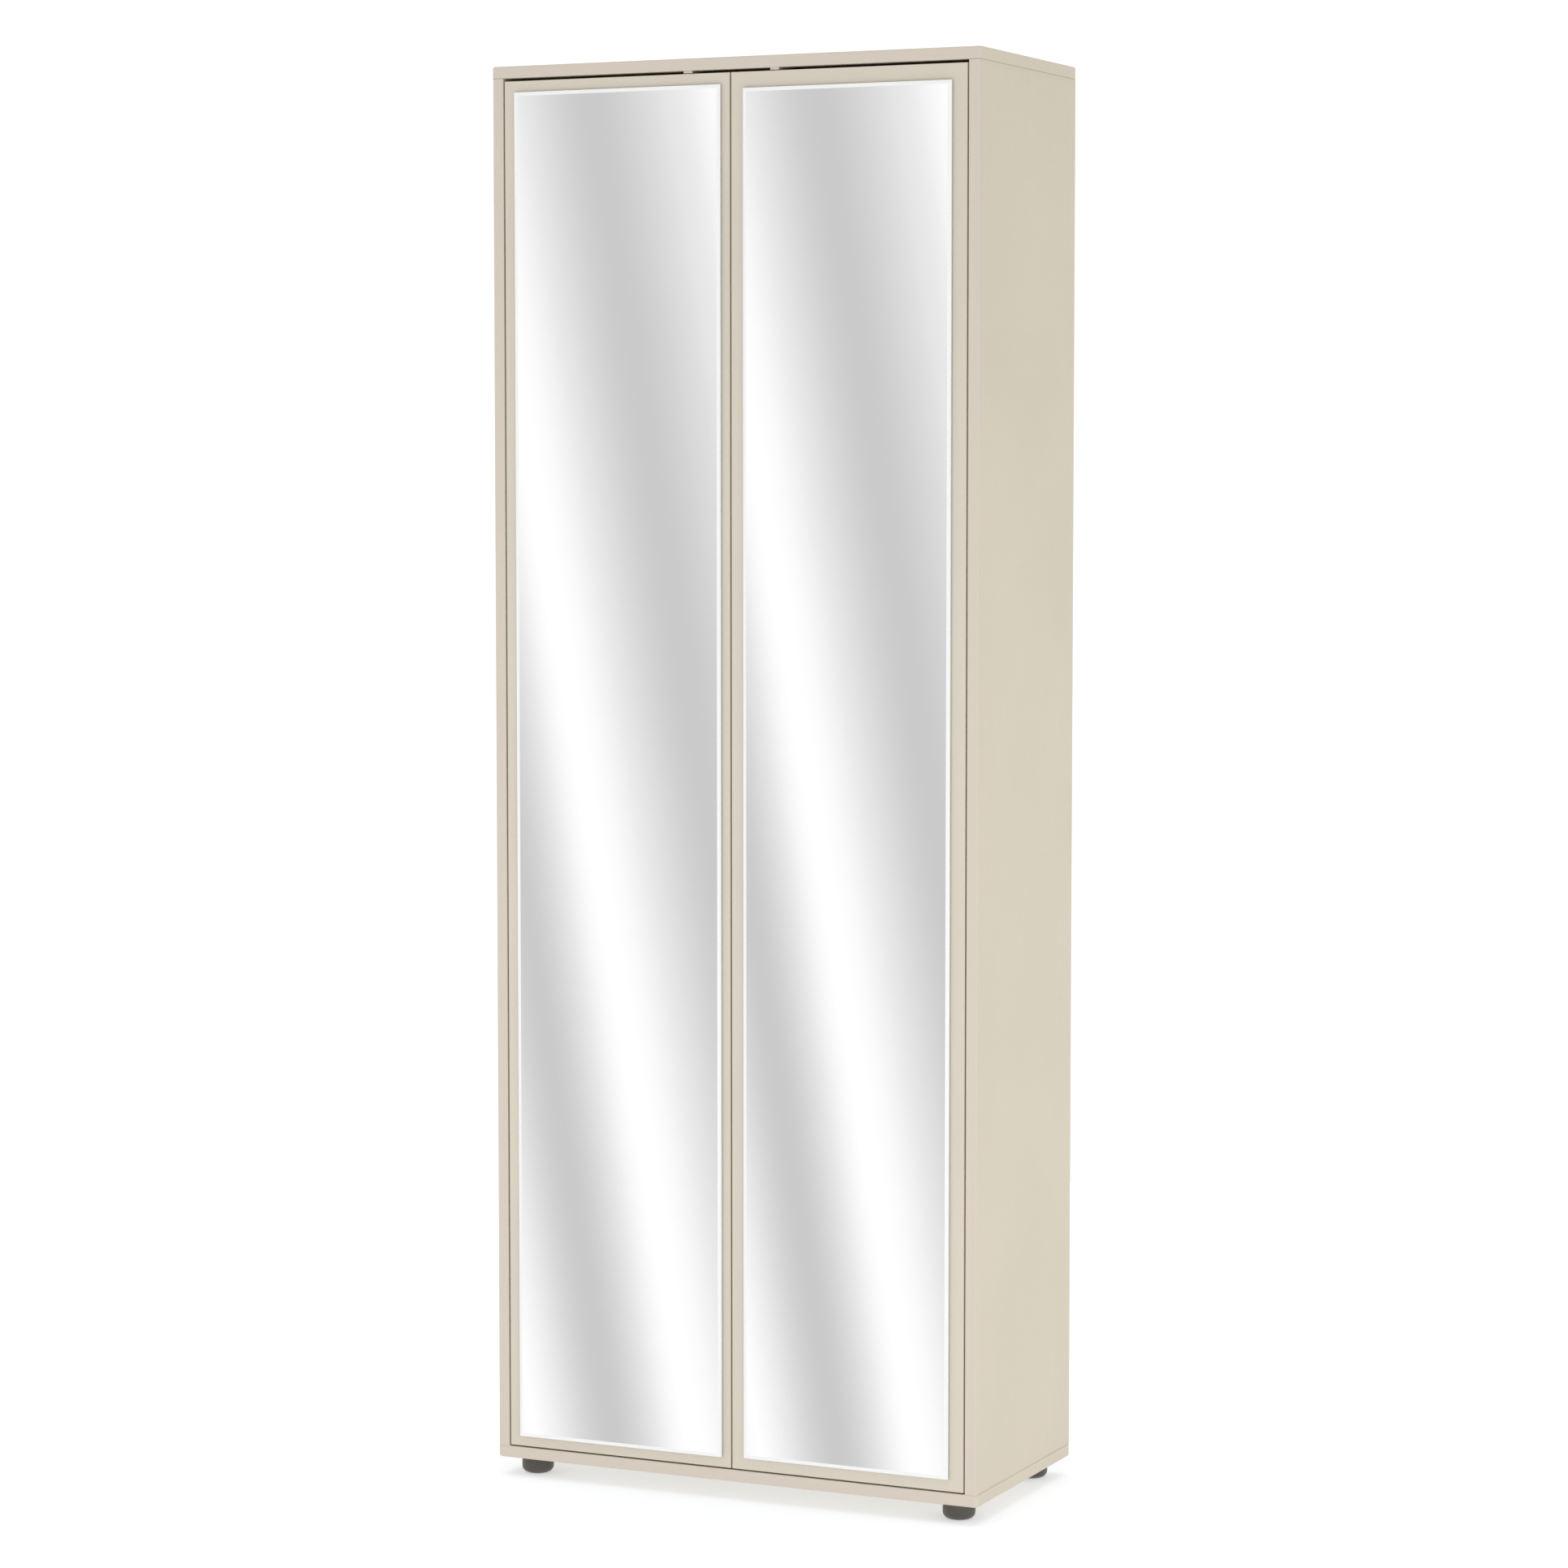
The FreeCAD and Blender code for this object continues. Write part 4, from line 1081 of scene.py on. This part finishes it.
@dataclass
class Fittings:
    """Hinges, latches, fasteners and tapes that keep their own shape and get a finish."""

    palette: Palette
    nodes: dict[str, bpy.types.Object]
    nickel_words: tuple[str, ...] = ("hinge_arm", "hinge_cup", "hinge_plates")
    zinc_words: tuple[str, ...] = ("screws", "adjusters", "cam_bolts", "pins", "bracket", "strike")
    grey_words: tuple[str, ...] = ("latch_housing", "latch_plunger")
    cast_words: tuple[str, ...] = ("cam_locks",)
    foam_words: tuple[str, ...] = ("mirror_tape",)
    wood_words: tuple[str, ...] = ("dowels",)

    def dress(self) -> None:
        """Gives every fitting its finish."""
        palette = self.palette
        rules = (
            (self.zinc_words, palette.zinc),
            (self.cast_words, palette.cast),
            (self.nickel_words, palette.nickel),
            (self.grey_words, palette.grey),
            (self.foam_words, palette.foam),
            (self.wood_words, palette.beech),
        )
        for name, node in self.nodes.items():
            for words, material in rules:
                if any(word in name for word in words):
                    paint(node, material)
                    break


# --------------------------------------------------------------------- studio


@dataclass
class Surround:
    """The white room round the cabinet, whose soft strip lights the mirrors pick up.

    The eye sees plain white and the boards are lit by plain soft light. A mirror sees the strips:
    upright bands of light that repeat round the room, lean with height, and start afresh at divide,
    a bearing in radians. A strip's stops are places across it, from 0 to 1, and brightnesses.
    """

    light: Rgb = (0.650, 0.645, 0.630)
    strength: float = 1.075
    white: Rgb = (1.0, 1.0, 1.0)
    strips_per_radian: float = 10.512
    lean: float = 1.73
    divide: float = -0.447
    left_start: float = 5.569
    right_start: float = 5.02
    strip: Stops = (
        (0.0, 1.0),
        (0.1, 0.74),
        (0.2, 0.59),
        (0.3, 0.81),
        (0.38, 1.0),
        (0.5, 0.83),
        (0.66, 0.59),
        (0.83, 0.73),
        (0.92, 0.86),
        (1.0, 1.0),
    )

    def __post_init__(self) -> None:
        """Makes the world that holds the surround."""
        world = bpy.data.worlds.new("surround")
        world.use_nodes = True
        world.node_tree.nodes.clear()
        bpy.context.scene.world = world
        self.tree = world.node_tree

    def calc(self, operation: str, first: Any, second: Any = 0.0) -> Any:
        """A step of arithmetic.

        Args:
            operation: the math node's operation.
            first: an output or a number.
            second: an output or a number.

        Returns:
            The result's output.
        """
        node = self.tree.nodes.new("ShaderNodeMath")
        node.operation = operation
        for value, socket in ((first, node.inputs[0]), (second, node.inputs[1])):
            if isinstance(value, bpy.types.NodeSocket):
                self.tree.links.new(value, socket)
            else:
                socket.default_value = value
        return node.outputs[0]

    def across(self) -> Any:
        """Which strip a direction meets.

        Returns:
            The strip's number, with the place across it after the point.
        """
        where = self.tree.nodes.new("ShaderNodeTexCoord")
        parts = self.tree.nodes.new("ShaderNodeSeparateXYZ")
        self.tree.links.new(where.outputs["Generated"], parts.inputs[0])
        x, y, z = parts.outputs
        calc = self.calc
        bearing = calc("ARCTAN2", x, calc("MULTIPLY", y, -1.0))
        level = calc("SQRT", calc("ADD", calc("MULTIPLY", x, x), calc("MULTIPLY", y, y)))
        rise = calc("ARCTAN2", z, level)
        place = calc("MULTIPLY", bearing, self.strips_per_radian)
        place = calc("ADD", place, calc("MULTIPLY", rise, self.lean))
        beyond = calc("GREATER_THAN", bearing, self.divide)
        start = calc("MULTIPLY", beyond, self.right_start - self.left_start)
        return calc("ADD", place, calc("ADD", start, self.left_start))

    def ramp(self, place: Any) -> Any:
        """A strip's brightness.

        Args:
            place: the place across it, from 0 to 1.

        Returns:
            The brightness's output.
        """
        node = self.tree.nodes.new("ShaderNodeValToRGB")
        stops = node.color_ramp.elements
        while len(stops) < len(self.strip):
            stops.new(0.5)
        for element, (position, value) in zip(stops, self.strip):
            element.position = position
            element.color = (value, value, value, 1.0)
        node.color_ramp.interpolation = "CARDINAL"
        self.tree.links.new(place, node.inputs[0])
        return node.outputs[0]

    def choose(self, ray: str, other: Any, chosen: Any) -> Any:
        """One colour for a kind of ray and another for all the rest.

        Args:
            ray: the light path's output for that kind of ray.
            other: the colour for all the rest.
            chosen: the colour for that kind.

        Returns:
            The colour's output.
        """
        path = self.tree.nodes.new("ShaderNodeLightPath")
        node = self.tree.nodes.new("ShaderNodeMix")
        node.data_type = "RGBA"
        self.tree.links.new(path.outputs[ray], node.inputs[0])
        for value, socket in ((other, node.inputs[6]), (chosen, node.inputs[7])):
            if isinstance(value, tuple):
                socket.default_value = (*value, 1.0)
            else:
                self.tree.links.new(value, socket)
        return node.outputs[2]

    def build(self) -> None:
        """Joins the strips, the plain light and the white to the world's background."""
        strips = self.ramp(self.calc("FRACT", self.across()))
        lit = self.choose("Is Glossy Ray", self.light, strips)
        seen = self.choose("Is Camera Ray", lit, self.white)
        background = self.tree.nodes.new("ShaderNodeBackground")
        self.tree.links.new(seen, background.inputs["Color"])
        background.inputs["Strength"].default_value = self.strength
        output = self.tree.nodes.new("ShaderNodeOutputWorld")
        self.tree.links.new(background.outputs[0], output.inputs["Surface"])
        LOG.info("surround: white room in place")


@dataclass(frozen=True)
class Fill:
    """A low, wide lamp that faces the cabinet: its place on the floor plan, width and power."""

    x: float
    y: float
    wide: float
    power: float
    height: float = 0.32
    tall: float = 0.7

    def build(self, name: str) -> None:
        """Hangs the lamp.

        Args:
            name: its name in the scene.
        """
        light = bpy.data.lights.new(name, "AREA")
        light.shape = "RECTANGLE"
        light.size = self.wide
        light.size_y = self.tall
        light.energy = self.power
        lamp = bpy.data.objects.new(name, light)
        lamp.location = (self.x, self.y, self.height)
        towards = Vector((-self.x, -self.y, 0.0))
        lamp.rotation_euler = towards.to_track_quat("-Z", "Y").to_euler()
        lamp.visible_glossy = False
        lamp.visible_camera = False
        bpy.context.scene.collection.objects.link(lamp)
        LOG.info("studio: %s hung", name)


@dataclass
class Studio:
    """Floor, lights and camera. Lengths are in metres and angles in degrees."""

    floor_rings: tuple[float, ...] = (1.0, 4.0, 15.0, 60.0)
    floor_steps: int = 64
    floor_tone: Rgb = (0.60, 0.61, 0.63)
    floor_shade: float = 0.995
    floor_rough: float = 0.9
    floor_glow: float = 0.50
    floor_cast: Rgb = (0.96, 0.98, 1.0)
    overhead: float = 0.88
    overhead_spread: float = 50.0
    fills: tuple[Fill, ...] = (
        Fill(0.7, -2.2, 2.4, 8.6),
        Fill(2.4, 0.0, 2.4, 7.5),
        Fill(-2.4, 0.0, 2.4, 8.0),
        Fill(0.0, 2.4, 3.0, 8.0),
    )
    lens: float = 99.21
    sensor: float = 36.0
    far: float = 200.0
    eye: tuple[float, float, float] = (2.4305, -5.2331, 1.3660)
    turn: float = 24.904
    tilt: float = 4.243

    def build(self) -> None:
        """Sets up the whole studio."""
        Surround().build()
        self.make_floor()
        self.make_light()
        for index, fill in enumerate(self.fills):
            fill.build(f"fill_{index}")
        self.make_camera()

    def make_floor(self) -> None:
        """A plain pale floor that mirrors look past."""
        mesh = bmesh.new()
        loops = [ring(mesh, circle(radius, 0.0, self.floor_steps)) for radius in self.floor_rings]
        mesh.faces.new(loops[0])
        for inner, outer in zip(loops, loops[1:]):
            wall(mesh, inner, outer)
        sheet = NodeSheet("pale_floor")
        sheet.gloss(0.0)
        shaded = toned(self.floor_tone, self.floor_shade)
        tone = sheet.mix(sheet.noise(2.0), self.floor_tone, shaded)
        sheet.shader.inputs["Emission Color"].default_value = (*self.floor_cast, 1.0)
        sheet.shader.inputs["Emission Strength"].default_value = self.floor_glow
        floor = piece_from(mesh, "floor", (sheet.dress(tone, self.floor_rough),))
        floor.visible_glossy = False
        LOG.info("studio: floor laid")

    def make_light(self) -> None:
        """One very soft light from straight above."""
        light = bpy.data.lights.new("overhead", "SUN")
        light.energy = self.overhead
        light.angle = math.radians(self.overhead_spread)
        lamp = bpy.data.objects.new("overhead", light)
        lamp.visible_glossy = False
        bpy.context.scene.collection.objects.link(lamp)
        LOG.info("studio: overhead light hung")

    def make_camera(self) -> None:
        """The camera, a little to the right and almost level."""
        data = bpy.data.cameras.new("camera")
        data.lens = self.lens
        data.sensor_width = self.sensor
        data.clip_end = self.far
        camera = bpy.data.objects.new("camera", data)
        camera.location = self.eye
        camera.rotation_euler = (math.radians(90.0 - self.tilt), 0.0, math.radians(self.turn))
        scene = bpy.context.scene
        scene.collection.objects.link(camera)
        scene.camera = camera
        scene.view_settings.view_transform = "Standard"
        scene.view_settings.look = "None"
        LOG.info("studio: camera set")


# ----------------------------------------------------------------------- main


def main() -> None:
    """Loads the frame and builds and dresses every piece."""
    logging.basicConfig(level=logging.INFO, format="%(message)s")
    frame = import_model()
    nodes = frame["nodes"]
    palette = Palette()
    Studio().build()
    Carcass(palette, nodes).dress()
    Fittings(palette, nodes).dress()
    for side in Side:
        DoorMirror(side, palette).build()
    for name in sorted(nodes):
        if name.startswith("foot_") and name != "foot_screws":
            Foot(name, palette).build()
    for name, body in SCREW_NODES.items():
        Screws(name, body, nodes[name], palette).build()


if __name__ == "__main__":
    main()
